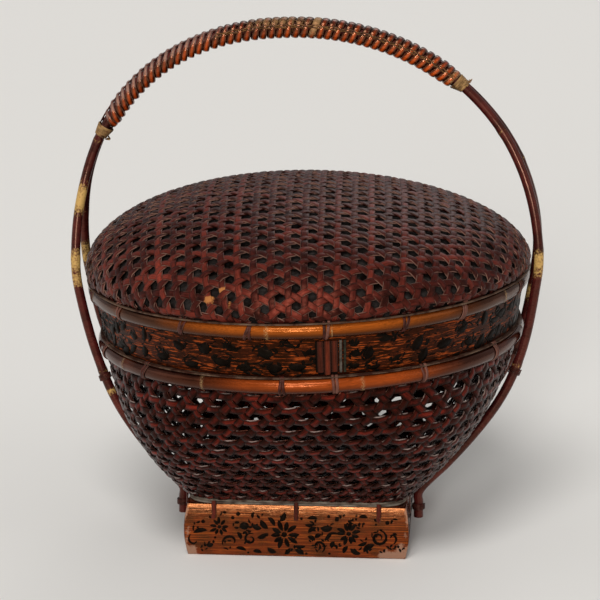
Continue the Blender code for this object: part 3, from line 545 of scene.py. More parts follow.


# Lighter patches in the dome's tone: rubbed wear, and along the front also a painted highlight where the lamp falls.
dome["rubbed"] = [
    ((-75, -97), (20, 8), 0.28), ((-3, -79), (12, 8), 0.22), ((2, -134), (34, 9), 0.18), ((88, -70), (8, 9), 0.22),
    ((30, 60), (24, 14), 0.25), ((-60, 70), (14, 12), 0.2)]
dome["bare"] = [
    ((-53, -127.5), (2.6, 1.8), 0.85), ((-48.5, -125.8), (3.6, 1.9), 0.95), ((-44, -124.2), (3.6, 1.9), 0.95),
    ((-39.5, -122.6), (3.0, 1.4), 0.85), ((-36, -131), (2.4, 2.4), 0.62), ((-32, -128), (2.4, 2.2), 0.62),
    ((70, 88), (3, 2), 0.8)]
buildDome()
print("dome woven")

# Bowl: rings and two families of slanted strips, on a wall that is square below and round above.
bowl = {
    "bottom": 33.3 * mm, "rimBottom": 111.8 * mm, "top": 118.6 * mm, "baseHalf": 65.0 * mm, "rimHalf": 117.0 * mm,
    "fullness": 1.52, "baseSquareness": 6.5, "squarenessFade": 1.5, "columns": 53, "rowHeight": 8.2 * mm,
    "firstRow": 6.2 * mm, "shift": -0.08, "ringWidth": 4.5 * mm, "slantWidth": 4.9 * mm,
    "stripHalfThickness": 0.56 * mm, "depth": 1.3 * mm, "wave": 0.70 * mm, "floorSpacing": 9.0 * mm,
}


def bowlShare(height):
    return np.clip((height - bowl["bottom"]) / (bowl["rimBottom"] - bowl["bottom"]), 0, 1)


def bowlHalf(height):
    return bowl["baseHalf"] + (bowl["rimHalf"] - bowl["baseHalf"]) * (1 - (1 - bowlShare(height)) ** bowl["fullness"])


def bowlPower(height):
    return 2 + (bowl["baseSquareness"] - 2) * (1 - bowlShare(height)) ** bowl["squarenessFade"]


def bowlWall(height, around):
    power = bowlPower(height)
    spread = (np.abs(np.sin(around)) ** power + np.abs(np.cos(around)) ** power) ** (1 / power)
    return onCircle(bowlHalf(height) / spread, around, height)


wallHeights = np.linspace(bowl["bottom"], bowl["top"], 140)
wallTurns = np.linspace(0, 2 * math.pi, 721)
wallLengths = np.concatenate([[0], np.cumsum(np.hypot(np.diff(wallHeights), np.diff(bowlHalf(wallHeights))))])
wallShares = np.linspace(0, 1, 1441)
wallArounds = []
for level in wallHeights:
    outline = bowlWall(np.full(721, level), wallTurns)
    run = np.concatenate([[0], np.cumsum(np.linalg.norm(np.diff(outline, axis=0), axis=1))])
    wallArounds.append(np.interp(wallShares, run / run[-1], wallTurns))
wallArounds = np.array(wallArounds)


def onBowlUpright(share, length):
    row = np.interp(length, wallLengths, np.arange(140))
    low = np.minimum(row.astype(int), 138)
    turns = np.floor(share)
    column = (share - turns) * 1440
    left = np.minimum(column.astype(int), 1439)
    part, rise = column - left, row - low
    table = wallArounds
    lower = table[low, left] * (1 - part) + table[low, left + 1] * part
    upper = table[low + 1, left] * (1 - part) + table[low + 1, left + 1] * part
    around = lower * (1 - rise) + upper * rise + turns * 2 * math.pi
    return bowlWall(np.interp(length, wallLengths, wallHeights), around)


def onBowl(share, length, lift):
    share, length = np.broadcast_arrays(np.asarray(share, float), np.asarray(length, float))
    top = wallLengths[-1] - 0.2 * mm
    middle = np.clip(length, 0.5 * mm, top)
    sideways = onBowlUpright(share + 0.0006, middle) - onBowlUpright(share - 0.0006, middle)
    upwards = onBowlUpright(share, middle + 0.2 * mm) - onBowlUpright(share, middle - 0.4 * mm)
    normal = np.cross(sideways, upwards)
    normal /= np.linalg.norm(normal, axis=1)[:, None]
    return settled(onBowlUpright(share, length) + normal * np.asarray(lift)[..., None])


# How far a slanted strip's upper edge is made pale, partly rubbed cane and partly a painted highlight where it faces
# the light: on each side, the family that runs outwards and up.
def sideLight(share, hand):
    around = share * 2 * math.pi
    return np.clip(-hand * np.sin(around) * 1.6 - 0.2, 0, 1)


def buildBowl():
    chance = random.Random(23)
    tall = wallLengths[-1]
    lowest, highest = -bowl["firstRow"] / bowl["rowHeight"], (tall - bowl["firstRow"]) / bowl["rowHeight"]
    slants = []
    quarters = np.arange(math.ceil(lowest * 4), highest * 4) / 4
    rows = np.unique(np.round(np.concatenate([[lowest], quarters, [highest]]), 6))
    length = bowl["firstRow"] + rows * bowl["rowHeight"]
    narrow = 0.84 + 0.16 * length / tall
    for family, hand in ((0, 1), (1, -1)):
        for k in range(bowl["columns"]):
            stray = chance.uniform(-0.04, 0.04) + 0.04 * smoothNoise(chance.random(), rows, 2.2)
            column = hand * (k + 0.5 - rows / 2) + bowl["shift"] + stray
            share = column / bowl["columns"]
            lift = hand * bowl["wave"] * np.cos(2 * math.pi * rows) - bowl["depth"]
            tone = chance.uniform(0.2, 0.75)
            slants.append(path(
                onBowl(share, length, lift), onBowl(share, length, lift + mm), tone=tone,
                swell=narrow * chance.uniform(0.88, 1.1) * (1 + 0.09 * smoothNoise(chance.random(), rows, 1.4)),
                mark=np.clip(0.42 + 0.3 * smoothNoise(chance.random(), rows, 1.1), 0, 1) * sideLight(share, hand)))
    rings = []
    steps = bowl["columns"] * 4
    for row in range(math.floor(lowest), math.ceil(highest)):
        level = row + 0.5
        if not lowest + 0.1 < level < highest:
            continue
        column = np.arange(steps) / 4
        turn = column / bowl["columns"] * 2 * math.pi
        wander = 0.07 * smoothNoise(chance.random(), np.sin(turn), 0.5)
        wander += 0.05 * smoothNoise(chance.random(), np.cos(turn), 0.2)
        length = bowl["firstRow"] + (level + wander) * bowl["rowHeight"]
        share = (column + 0.5 - level / 2 + bowl["shift"]) / bowl["columns"]
        crest = np.cos(2 * math.pi * column)
        lift = bowl["wave"] * crest - bowl["depth"]
        luck = np.repeat([chance.uniform(0.1, 0.62) for _ in range(bowl["columns"])], 4)
        # Pale dashes on a ring's upper edge where it rides over the slants: partly rubbed cane, partly a painted
        # highlight.
        rubbedAndLitDash = np.clip(0.6 + 0.6 * crest, 0, 1) * np.roll(luck, 2)
        rings.append(path(
            onBowl(share, length, lift), onBowl(share, length, lift + mm), closed=True,
            swell=(0.92 + 0.08 * level / highest) * (1 + 0.08 * smoothNoise(chance.random(), np.sin(turn), 0.15)),
            tone=np.repeat([chance.uniform(0.1, 0.9) for _ in range(bowl["columns"])], 4), mark=rubbedAndLitDash))
    wall = [
        swept("bowlSlants", slants, bowlFinish, bowl["slantWidth"], bowl["stripHalfThickness"], squareness=3.2),
        swept("bowlRings", rings, bowlRingFinish, bowl["ringWidth"], bowl["stripHalfThickness"], squareness=3.2),
    ]

    # Floor: the same weave lying flat.
    floor = []
    half = bowl["baseHalf"] - 1.2 * mm
    step = bowl["floorSpacing"] / math.sqrt(3)
    for family in range(3):
        angle = math.radians(60 * family + 90)
        normal, along = np.array((math.cos(angle), math.sin(angle))), np.array((-math.sin(angle), math.cos(angle)))
        turn = math.radians(60 * ((family + 1) % 3) + 90)
        over = np.array((math.cos(turn), math.sin(turn)))
        for line in range(-11, 11):
            offset = (line + 0.5) * bowl["floorSpacing"]
            crossing = (0.5 * bowl["floorSpacing"] - offset * (over @ normal)) / (over @ along)
            at = crossing + np.arange(-80, 81) * step / 2
            flat = normal * offset + np.outer(at, along)
            inside = (np.abs(flat / half) ** bowl["baseSquareness"]).sum(1) < 1
            if inside.sum() < 4:
                continue
            at, flat = at[inside], flat[inside]
            height = bowl["bottom"] + 1.0 * mm + bowl["wave"] * np.cos(math.pi * (at - crossing) / step)
            base = np.column_stack([flat, height])
            floor.append(path(settled(base), settled(base - (0, 0, mm)), tone=chance.uniform(0.2, 0.7)))
    wall.append(swept("bowlFloor", floor, bowlFinish, bowl["ringWidth"], bowl["stripHalfThickness"]))
    dress(joined("bowlWeave", wall), "basket", "dark_weave", "bowl_weave")


buildBowl()
print("bowl woven")

# Hoops: half-round bamboo bent round the rims, its ends scarfed over each other at the front.
# bright: middle and reach in degrees of each hoop's painted highlight band round the front.
hoops = {
    "lid": {"inner": 121.3 * mm, "bulge": 4.0 * mm, "bottom": 142.8 * mm, "height": 8.5 * mm, "scarf": 5.6,
            "nodes": (-6.4, 63, 141, 212, 290), "bright": (3.5, 33)},
    "rim": {"inner": 117.3 * mm, "bulge": 3.9 * mm, "bottom": 111.8 * mm, "height": 8.0 * mm, "scarf": 152,
            "nodes": (-25, 17, 84, 171, 246, 305), "bright": (10, 28)},
    "overlap": 4.0, "lift": 0.40 * mm, "nodeReach": 1.1, "nodeSwell": 0.06, "steps": 820,
}


def buildHoop(name, size, finish, slot, body, node):
    degrees = np.linspace(size["scarf"], size["scarf"] + 360 + hoops["overlap"], hoops["steps"])
    fromStart, fromEnd = degrees - degrees[0], degrees[-1] - degrees
    lift = hoops["lift"] * (eased(1 - fromEnd / 16) - eased(1 - fromStart / 16))
    swell, mark = np.ones(len(degrees)), np.zeros(len(degrees))
    swell -= 0.10 * eased(1 - fromEnd / 3) + 0.12 * eased(1 - fromStart / 20)
    for spotAt in size["nodes"]:
        gap = np.abs((degrees - spotAt + 180) % 360 - 180)
        swell += hoops["nodeSwell"] * np.exp(-(gap / hoops["nodeReach"]) ** 2)
        mark += 0.46 * np.exp(-(gap / hoops["nodeReach"]) ** 2)
    mark += 0.5 * np.exp(-(fromEnd / 0.7) ** 2)
    # Painted light: the tone makes the hoop bright orange only in a band round the front, where the lamp falls, and
    # leaves the sides near-black as in shade.
    front = (degrees - size["bright"][0] + 180) % 360 - 180
    tone = 0.12 + 0.75 * np.exp(-(front / size["bright"][1]) ** 4) + 0.1 * smoothNoise(5, np.radians(degrees), 0.25)
    around = np.radians(degrees)
    height = size["bottom"] + size["height"] / 2 + 0.15 * mm * smoothNoise(8, around, 0.8)
    base = settled(onCircle(size["inner"] + lift, around, height))
    lifted = settled(onCircle(size["inner"] + lift + mm, around, height))
    hoop = swept(
        name, [path(base, lifted, swell=swell, tone=tone, mark=mark)], finish,
        size["height"], size["bulge"], backShare=0.06, squareness=2.15, sides=20)
    dress(hoop, body, slot, node)


buildHoop("lidHoop", hoops["lid"], hoopFinish, "orange_lacquer", "lid", "lid_outer_hoop")
buildHoop("rimHoop", hoops["rim"], rimFinish, "red_lacquer", "basket", "rim_outer_hoop")

# Ties of cane over the hoops, and the cane that they hold down.
ties = {
    "lid": (-71, -52, -29, -11, 8, 28, 45.5, 73, 110, 132, 154, 176, 198, 220, 244),
    "rim": (-69, -45, -3.5, 10, 34, 61, 112, 138, 164, 190, 216, 242),
    "gap": 0.42 * mm, "width": 1.65 * mm, "halfThickness": 0.38 * mm, "spread": 0.86 * mm, "slant": 0.9,
}


def tieRound(size, degrees, sideways, low, high, ending, chance):
    turn = np.radians(np.linspace(low, high, 12))
    around = math.radians(degrees) + sideways / size["inner"]
    around = around + math.radians(ties["slant"]) * np.sin(turn) * chance.uniform(-0.2, 1)
    middle = size["bottom"] + size["height"] / 2
    lines = []
    for gap in (ties["gap"], ties["gap"] + mm):
        radius = size["inner"] + (size["bulge"] + gap) * np.cos(turn)
        line = onCircle(radius, around, middle + (size["height"] / 2 + gap) * np.sin(turn))
        extra = gap - ties["gap"]
        tail = np.array([onCircle(r, around[-1], z + extra) for r, z in ending])
        lines.append(settled(np.concatenate([line, tail])))
    return path(*lines, tone=chance.uniform(0.2, 0.9), mark=chance.uniform(0.0, 0.25))


def buildTies():
    chance = random.Random(31)
    lid, rim = hoops["lid"], hoops["rim"]
    around = np.linspace(0, 2 * math.pi, 300, endpoint=False)
    height = 151.6 * mm + 0.12 * mm * smoothNoise(3, np.cos(around), 0.2)
    ring = path(
        settled(onCircle(124.5 * mm, around, height)), settled(onCircle(124.5 * mm, around, height + mm)), closed=True,
        tone=0.5 + 0.3 * smoothNoise(4, np.sin(around), 0.1), swell=1 + 0.08 * smoothNoise(6, np.sin(around * 2), 0.1))
    cane = [swept("lidCaneRing", [ring], ledgeFinish, 2.3 * mm, 0.55 * mm)]
    ending = ((125.3 * mm, 152.5 * mm), (124.4 * mm, 152.9 * mm), (123.3 * mm, 152.7 * mm))
    strands = []
    for degrees in ties["lid"]:
        for side in (-1, 1):
            strands.append(tieRound(lid, degrees, side * ties["spread"], -96, 62, ending, chance))
    cane.append(swept("lidStrands", strands, tieFinish, ties["width"], ties["halfThickness"]))
    dress(joined("lidTies", cane), "lid", "bare_cane", "lid_lacing")

    strips = []
    for radius, level, width in ((118.9, 120.65, 1.9), (117.0, 120.55, 2.2)):
        height = level * mm + 0.08 * mm * smoothNoise(radius, np.cos(around), 0.15)
        wide = width / 2.0 * (1 + 0.07 * smoothNoise(radius + 1, np.sin(around), 0.05))
        strips.append(path(
            settled(onCircle(radius * mm, around, height)), settled(onCircle(radius * mm, around, height + mm)),
            closed=True, swell=wide, tone=0.45 + 0.3 * smoothNoise(radius, np.sin(around), 0.08),
            mark=0.3 + 0.3 * smoothNoise(radius + 5, np.cos(around * 3), 0.2)))
    cane = [swept("rimLedge", strips, ledgeFinish, 2.0 * mm, 0.45 * mm, squareness=3.0)]
    ending = ((119.6 * mm, 120.9 * mm), (118.6 * mm, 121.55 * mm), (117.9 * mm, 121.3 * mm))
    strands = []
    for degrees in ties["rim"]:
        for side in (-1, 1):
            strands.append(tieRound(rim, degrees, side * ties["spread"], -96, 60, ending, chance))
    cane.append(swept("rimStrands", strands, tieFinish, ties["width"], ties["halfThickness"]))
    dress(joined("rimTies", cane), "basket", "bare_cane", "rim_lacing")


# Ties keep some of the red lacquer in their grain, and the ledge is darker and dustier.
tieFinish = lacquerFinish("lacquerStainedCane", plainLook | {
    "deep": "#260d09", "main": "#46201a", "bright": "#7c5244", "brightFrom": 0.4, "brightTo": 1.1,
    "blotch": 3, "grainLength": 6, "grainWidth": 0.3, "grainDepth": 0.45, "edge": 0.5, "edgeFrom": 0.75,
    "pale": "#94786a", "markColour": "#38100b", "markFrom": 0.7, "rough": 0.4, "coat": 0.05,
})
ledgeFinish = lacquerFinish("dustyStainedCane", plainLook | {
    "deep": "#24140e", "main": "#453026", "bright": "#6a5544", "brightFrom": 0.4, "brightTo": 1.1,
    "blotch": 5, "grainLength": 8, "grainWidth": 0.35, "grainDepth": 0.3, "edge": 0.3,
    "pale": "#7a6a56", "markColour": "#2c140e", "markFrom": 0.75, "rough": 0.55, "coat": 0.02,
})
buildTies()

# Plain rings: the painted skirt, the inner hoops and the collar that stands up inside the lid.
skirt = {"bottom": 121.4 * mm, "top": 151.3 * mm, "lowRadius": 117.5 * mm, "radius": 121.0 * mm, "wall": 2.0 * mm,
         "straight": 10 * mm}


def skirtFace(height):
    share = np.clip((height - skirt["bottom"]) / (skirt["top"] - skirt["bottom"] - skirt["straight"]), 0, 1)
    return skirt["lowRadius"] + (skirt["radius"] - skirt["lowRadius"]) * share


def buildRings():
    heights = np.linspace(skirt["bottom"], skirt["top"], 15)
    face = [(skirtFace(z), z) for z in heights]
    face[0] = (face[0][0] - 0.35 * mm, face[0][1])
    face.insert(1, (face[0][0] + 0.33 * mm, skirt["bottom"] + 0.4 * mm))
    back = [(skirtFace(z) - skirt["wall"], z) for z in heights[::-1]]
    ring = turnedRing("paintedSkirt", face + back, skirtFinish, wobble=0.12 * mm, seed=9)
    dress(ring, "lid", "painted_lacquer", "lid_skirt_band")

    def innerHoop(inner, bulge, bottom, height):
        turn = np.linspace(math.pi / 2, -math.pi / 2, 9)
        edge = bulge * 0.08
        return [(inner, bottom), (inner, bottom + height)] + [
            (inner - edge - (bulge - edge) * math.cos(a), bottom + height / 2 + height / 2 * math.sin(a)) for a in turn]

    ring = turnedRing("lidInnerHoop", innerHoop(118.7 * mm, 2.4 * mm, 144.3 * mm, 7 * mm), rimFinish, 144)
    dress(ring, "lid", "orange_lacquer", "lid_inner_hoop")
    ring = turnedRing("rimInnerHoop", innerHoop(112.6 * mm, 2.5 * mm, 111.8 * mm, 8 * mm), rimFinish, 144)
    dress(ring, "basket", "red_lacquer", "rim_inner_hoop")
    rounding = 0.5 * mm
    low, high, inner, outer = 111.8 * mm, 130.8 * mm, 112.9 * mm, 114.7 * mm
    section = [
        (inner, low), (outer, low), (outer, high - rounding), (outer - rounding, high),
        (inner + rounding, high), (inner, high - rounding)]
    dress(turnedRing("rimCollar", section, rimFinish, 144), "basket", "red_lacquer", "rim_collar")


buildRings()

# Seam of the skirt: a ribbed tab, and two thin slats beside it.
seam = {"angle": 8.3, "width": 11.4 * mm, "ribHalf": 1.1 * mm, "ribs": 3, "top": 141.3 * mm,
        "slatWidth": 1.5 * mm, "slatGap": 0.7 * mm}


def upTheSkirt(offset, low, high, lift, **looks):
    height = np.linspace(low, high, 9)
    around = math.radians(seam["angle"]) + offset / skirt["radius"]
    base = onCircle(skirtFace(height) + lift, around, height)
    return path(settled(base), settled(onCircle(skirtFace(height) + lift + mm, around, height)), **looks)


def buildSeam():
    ribs = []
    rib = seam["width"] / seam["ribs"]
    for i in range(seam["ribs"]):
        offset = (i - (seam["ribs"] - 1) / 2) * rib
        low = skirt["bottom"] + 0.6 * mm + 1.5 * mm * abs(i - 1)
        ribs.append(upTheSkirt(offset, low, seam["top"], 0.1 * mm, tone=(0.35, 0.62, 0.45)[i], mark=0.1))
    backing = upTheSkirt(0, skirt["bottom"] + 0.7 * mm, seam["top"], 0.05 * mm, tone=0.1)
    border = upTheSkirt(-seam["width"] / 2 - 0.2 * mm, skirt["bottom"] + 2.2 * mm, seam["top"], 0.3 * mm, tone=0.0)
    tab = [
        swept("tabRibs", ribs, tabFinish, rib * 1.06, seam["ribHalf"], backShare=0.05, squareness=2.4, sides=14),
        swept("tabBacking", [backing], inkFinish, 10.4 * mm, 0.3 * mm, backShare=0.3, squareness=4, sides=16),
        swept("tabBorder", [border], inkFinish, 1.0 * mm, 0.7 * mm, backShare=0.3),
    ]
    dress(joined("seamTab", tab), "lid", "painted_lacquer", "lid_seam_tab")
    for i, finish in enumerate((paleSlatFinish, darkSlatFinish)):
        offset = seam["width"] / 2 + (seam["slatGap"] + seam["slatWidth"]) * (i + 1) - seam["slatWidth"] / 2
        low = skirt["bottom"] + 1.6 * mm
        slat = swept(
            f"seamSlat{i + 1}", [upTheSkirt(offset, low, seam["top"], 0.15 * mm)], finish,
            seam["slatWidth"], 0.9 * mm, backShare=0.15, squareness=3, sides=12)
        dress(slat, "lid", "bare_cane", f"lid_seam_slat_{i + 1}")


tabFinish = lacquerFinish("polishedRedLacquerOnTab", plainLook | {
    "deep": "#1c0805", "main": "#36100a", "bright": "#6c2814", "brightFrom": 0.3, "brightTo": 1.0,
    "blotch": 3, "grainLength": 9, "grainWidth": 0.4, "grainDepth": 0.7, "edgeShade": 0.95, "edgeShadeFrom": 0.25,
    "edge": 0.35, "edgeFrom": 0.88, "pale": "#7a5a4c", "markColour": "#9a7a60", "markGrain": 0.8, "markFrom": 0.8,
    "rough": 0.24, "gloss": 0.45, "glossColour": "#ffa080", "coat": 0.0,
})
paleSlatFinish = lacquerFinish("greyBareBamboo", plainLook | {
    "deep": "#33302a", "main": "#57524a", "bright": "#7a756a", "blotch": 3, "grainLength": 12,
    "rough": 0.55, "coat": 0.05})
darkSlatFinish = lacquerFinish("greenBlackBamboo", plainLook | {
    "deep": "#10130e", "main": "#20261a", "bright": "#343c2a", "blotch": 3, "grainLength": 12,
    "rough": 0.5, "coat": 0.1})
buildSeam()
print("hoops, ties, skirt and seam ready")

# Foot: four mitred boards of half-round bamboo, cane ties, the cane hoop between foot and bowl, two laths.
foot = {
    "half": 61.0 * mm, "height": 30.0 * mm, "thickness": 4.5 * mm, "bulge": 1.8 * mm, "gap": 0.15 * mm,
    "rounding": 0.7 * mm, "stray": 0.10 * mm, "hoopBottom": 30.3 * mm, "hoopTop": 33.0 * mm,
    "tieSpots": (-46, 0, 46), "tieWidth": 2.6 * mm, "tieHalf": 0.45 * mm, "lathSpacing": 44 * mm,
    # Bare patches on each board: along and up it in mm, then their reach.
    "bare": {
        "front": ((53, 1.6, 7, 3), (-58.5, 2, 2.4, 3), (-61.5, 15, 0.9, 16), (61.5, 15, 0.8, 16), (58, 5, 2, 4)),
        "right": ((-58, 2, 4, 3), (61.5, 14, 0.8, 16), (-61.5, 15, 0.8, 16), (20, 29, 9, 1)),
        "back": ((-54, 2, 6, 3), (61.5, 14, 0.8, 16), (-61.5, 15, 0.8, 16), (5, 29, 12, 1)),
        "left": ((48, 2, 6, 3), (61.5, 14, 0.8, 16), (-61.5, 15, 0.8, 16), (-30, 29, 9, 1)),
    },
}
footSides = {"front": 0, "right": 90, "back": 180, "left": 270}


def boardFace(height):
    share = 2 * height / foot["height"] - 1
    return foot["half"] + foot["bulge"] * (1 - share * share)


def footTurn(name):
    return np.array(Matrix.Rotation(math.radians(footSides[name]), 3, "Z"))


def buildBoard(name, seed):
    inner = foot["half"] - foot["thickness"]
    heights = np.linspace(foot["rounding"], foot["height"] - foot["rounding"], 15)
    top, low = foot["height"], 0.0
    section = [(inner, top, 0), (inner, low, 0)]
    edgeLow, edgeTop = boardFace(foot["rounding"]), boardFace(foot["height"] - foot["rounding"])
    section += [(edgeLow - foot["rounding"], low, 0.4), (edgeLow - 0.3 * foot["rounding"], low + 0.2 * foot["rounding"], 1)]
    section += [(boardFace(z), z, 1) for z in heights]
    section += [(edgeTop - 0.3 * foot["rounding"], top - 0.2 * foot["rounding"], 1), (edgeTop - foot["rounding"], top, 0.4)]
    count, columns = len(section), 61
    turn = footTurn(name)
    points, laid, mark, faces = [], [], [], []
    for i in range(columns):
        share = 2 * i / (columns - 1) - 1
        for out, z, outer in section:
            x = share * (out - foot["gap"])
            wave = foot["stray"] * smoothNoise(seed, x + 0.3 * z, 0.03) * outer
            bare = max(
                math.exp(-((x / mm - a) / ra) ** 4 - ((z / mm - b) / rb) ** 4)
                for a, b, ra, rb in foot["bare"][name])
            chip = 0.0
            if bare > 0.4 and abs(x) > 45 * mm and z < 10 * mm and outer:
                chip = 0.35 * mm * bare * (0.6 + 0.4 * smoothNoise(seed + 3, x * 7 + z * 9, 0.01))
            points.append(turn @ np.array((x, -(out + wave - chip), z)))
            laid.append((x, z, 0.5))
            mark.append(0.62 * bare if outer else 0.0)
        if i:
            for k in range(count):
                other = (k + 1) % count
                faces.append(((i - 1) * count + k, (i - 1) * count + other, i * count + other, i * count + k))
    faces.append(tuple(range(count)))
    faces.append(tuple(range((columns - 1) * count, columns * count)))
    board = solid(f"footBoard{name.title()}", points, faces, boardFinish, laid, mark, sharp=50)
    dress(board, "basket", "orange_lacquer", f"foot_board_{name}")


def buildFootTie(name, place, offset, chance):
    heights = np.linspace(22.2 * mm, 32.4 * mm, 9)
    turn = footTurn(name)
    lines = []
    for extra in (0, mm):
        rows = []
        for z in heights:
            face = max(boardFace(min(z, foot["height"])), foot["half"] + 1.2 * mm) + 0.55 * mm
            rows.append(turn @ np.array((offset + 0.4 * mm * chance.uniform(-1, 1) * (z < 0.025), -face - extra, z)))
        if extra:
            rows[0], rows[-1] = rows[0] + (0, 0, -0.6 * mm), rows[-1] + (0, 0, 0.8 * mm)
        lines.append(np.array(rows))
    ends = 0.92 + 0.08 * np.sin(np.linspace(0, math.pi, 9)) ** 0.5
    tie = swept(
        f"footTie{name.title()}{place.title()}", [path(*lines, swell=ends, tone=chance.uniform(0.3, 0.7))],
        footTieFinish, foot["tieWidth"], foot["tieHalf"], sides=12)
    dress(tie, "basket", "bare_cane", f"foot_tie_{name}_{place}")


def squareLine(half, height, power=9.0, count=240):
    around = np.linspace(0, 2 * math.pi, count, endpoint=False)
    spread = (np.abs(np.sin(around)) ** power + np.abs(np.cos(around)) ** power) ** (1 / power)
    return onCircle(half / spread, around, height), around


def buildBaseHoop():
    strands = []
    for half, level, width, seed in (
        (61.0, 30.95, 1.0, 1), (60.9, 32.25, 0.95, 2), (58.6, 31.6, 1.9, 3), (56.0, 31.5, 1.9, 4), (53.3, 31.6, 2.0, 5),
    ):
        line, around = squareLine(half * mm, level * mm)
        wander = smoothNoise(seed + 80, np.cos(around) * 0.4 + np.sin(2 * around) * 0.2, 0.08)
        line = line * (1 + 0.002 * wander)[:, None] * (1, 1, 0) + line * (0, 0, 1) + np.outer(0.12 * mm * wander, (0, 0, 1))
        outward = (0, 0, 1) if half < 60 else None
        lifted = line + np.array(outward) * mm if outward else line * (1.02, 1.02, 1)
        strands.append((half, path(
            settled(line), settled(lifted), closed=True, swell=width * (1 + 0.05 * wander),
            tone=0.5 + 0.3 * smoothNoise(seed, np.cos(around * 3), 0.3), mark=0.25)))
    cane = [
        swept("baseOuter", [p for half, p in strands if half > 60], baseFinish, 1.4 * mm, 1.05 * mm,
              squareness=2.6, sides=10),
        swept("baseInner", [p for half, p in strands if half < 60], baseFinish, 1.35 * mm, 0.62 * mm,
              squareness=3.0, sides=10),
    ]
    dress(joined("baseHoop", cane), "basket", "bare_cane", "base_hoop")
    for name, side in (("Front", -1), ("Back", 1)):
        x = np.linspace(-50.3, 50.3, 40) * mm
        line = np.column_stack([x, 0 * x + side * foot["lathSpacing"] / 2, 0 * x + 31.65 * mm])
        lath = swept(
            f"floorLath{name}", [path(line, line - (0, 0, mm), tone=0.6, swell=1 + 0.02 * smoothNoise(side + 9, x, 0.03))],
            baseFinish, 11.8 * mm, 1.25 * mm, squareness=4.5, sides=18)
        dress(lath, "basket", "bare_cane", f"floor_lath_{name.lower()}")


baseFinish = lacquerFinish("greyWeatheredCane", plainLook | {
    "deep": "#3d3028", "main": "#75695c", "bright": "#989082", "brightFrom": 0.4, "brightTo": 1.1,
    "blotch": 6, "grainLength": 8, "grainWidth": 0.35, "grainDepth": 0.35, "edge": 0.3,
    "pale": "#a39a8a", "markColour": "#3a1a14", "markFrom": 0.8, "rough": 0.55, "coat": 0.0,
})
footTieFinish = lacquerFinish("darkRedLacquerOnCane", plainLook | {
    "deep": "#2a0a07", "main": "#48130d", "bright": "#6e241a", "brightFrom": 0.5, "brightTo": 1.2,
    "blotch": 3, "grainLength": 6, "grainWidth": 0.4, "grainDepth": 0.25, "edgeShade": 0.4, "edge": 0.3,
    "edgeFrom": 0.85, "rough": 0.3, "coat": 0.0, "gloss": 0.4,
})
chanceFoot = random.Random(91)
for seed, side in enumerate(footSides):
    buildBoard(side, 14 + seed)
    for place, spotAt in zip(("left", "middle", "right"), foot["tieSpots"]):
        buildFootTie(side, place, spotAt * mm, chanceFoot)
buildBaseHoop()
print("foot ready")

# Brushed ornament: rosettes, scrolls, leaves and dots of black lacquer, each stroke thicker where the brush pressed.
# Places in mm along the board and up it; then size, direction in degrees, and the like.
ornament = {
    "strokeHalf": 0.075 * mm, "sides": 6, "sprigs": 62,
    "rosettes": ((-43, 17.2, 5.8, 9, 10), (-6.7, 13.4, 8.6, 10, 0), (29.3, 14.8, 7.2, 11, 20)),
    "scrolls": (
        (-25.6, 10.4, 3.6, 1.15, 60, 1, 1.2), (-36.4, 8.2, 5.2, 0.62, 200, -1, 1.3), (12.3, 6.8, 4.2, 0.75, 300, 1, 1.2),
        (46.2, 12.7, 4.8, 1.35, 90, -1, 1.5), (52.8, 13.0, 4.0, 0.5, -70, 1, 1.1), (19.8, 10.6, 5.5, 0.45, 40, 1, 1.3),
        (-57.0, 9.0, 4.0, 0.6, 120, 1, 1.0)),
    "leaves": (
        (-53.7, 14.1, 6.5, 12, 2.2), (-32, 12.2, 4, 115, 1.8), (-29.0, 17.4, 4.6, 5, 3.6), (-21.9, 17.9, 4.6, -20, 2.4),
        (-17.7, 19.3, 5.2, -50, 2.6), (-14.0, 20.8, 5.0, -52, 2.0), (-7.8, 23.6, 4.6, 62, 2.3),
        (-19.1, 12.7, 5.0, 28, 2.2), (-13.6, 3.9, 4.6, -30, 2.4), (-5.3, 3.2, 3.6, 55, 2.0), (1.6, 2.9, 4.6, -32, 2.6),
        (2.1, 6.9, 5.0, 0, 1.7), (-21.9, 2.4, 4.0, -12, 2.0), (-31, 3.9, 5.0, -15, 1.8), (9.1, 23.0, 4.6, 2, 1.7),
        (7.5, 19.8, 4.4, 5, 1.5), (9.1, 16.5, 4.6, 35, 2.0), (16.9, 18.2, 5.6, 4, 3.0), (8.4, 11.5, 3.8, -30, 2.2),
        (12.3, 12.9, 3.4, 30, 2.0), (18.3, 12.4, 4.0, 50, 1.8), (20.6, 8.0, 3.6, 70, 2.2), (27.7, 5.1, 4.2, 62, 2.0),
        (33.2, 4.4, 5.4, -30, 2.4), (40.7, 6.3, 6.4, 38, 2.8), (37.4, 24.4, 4.0, 0, 1.6), (36.9, 9.3, 4.6, 25, 1.8),
        (-48.6, 6.6, 3.4, 10, 2.2), (-24, 24.3, 3.0, 80, 1.4)),
    "dots": (
        (-52.1, 20.1, 2.4), (-32.5, 24.8, 2.6), (-35.5, 22.6, 2.2), (-45.4, 10.8, 1.6), (2.9, 22.9, 1.8),
        (18.1, 24.4, 2.0), (22.7, 22.8, 2.6), (50.8, 21.7, 2.6), (18.5, 2.4, 1.6), (-27, 1.9, 1.4), (5.6, 2.1, 1.5),
        (33.5, 25.2, 1.4), (-57.5, 17.0, 1.4), (44.5, 20.5, 1.4), (55.5, 8.0, 1.3)),
}


def brushStroke(place, spine, widths, tone):
    spine = np.asarray(spine, float)
    lines = [place(spine, lift) for lift in (0.0, mm)]
    return path(*lines, swell=widths, tone=tone)


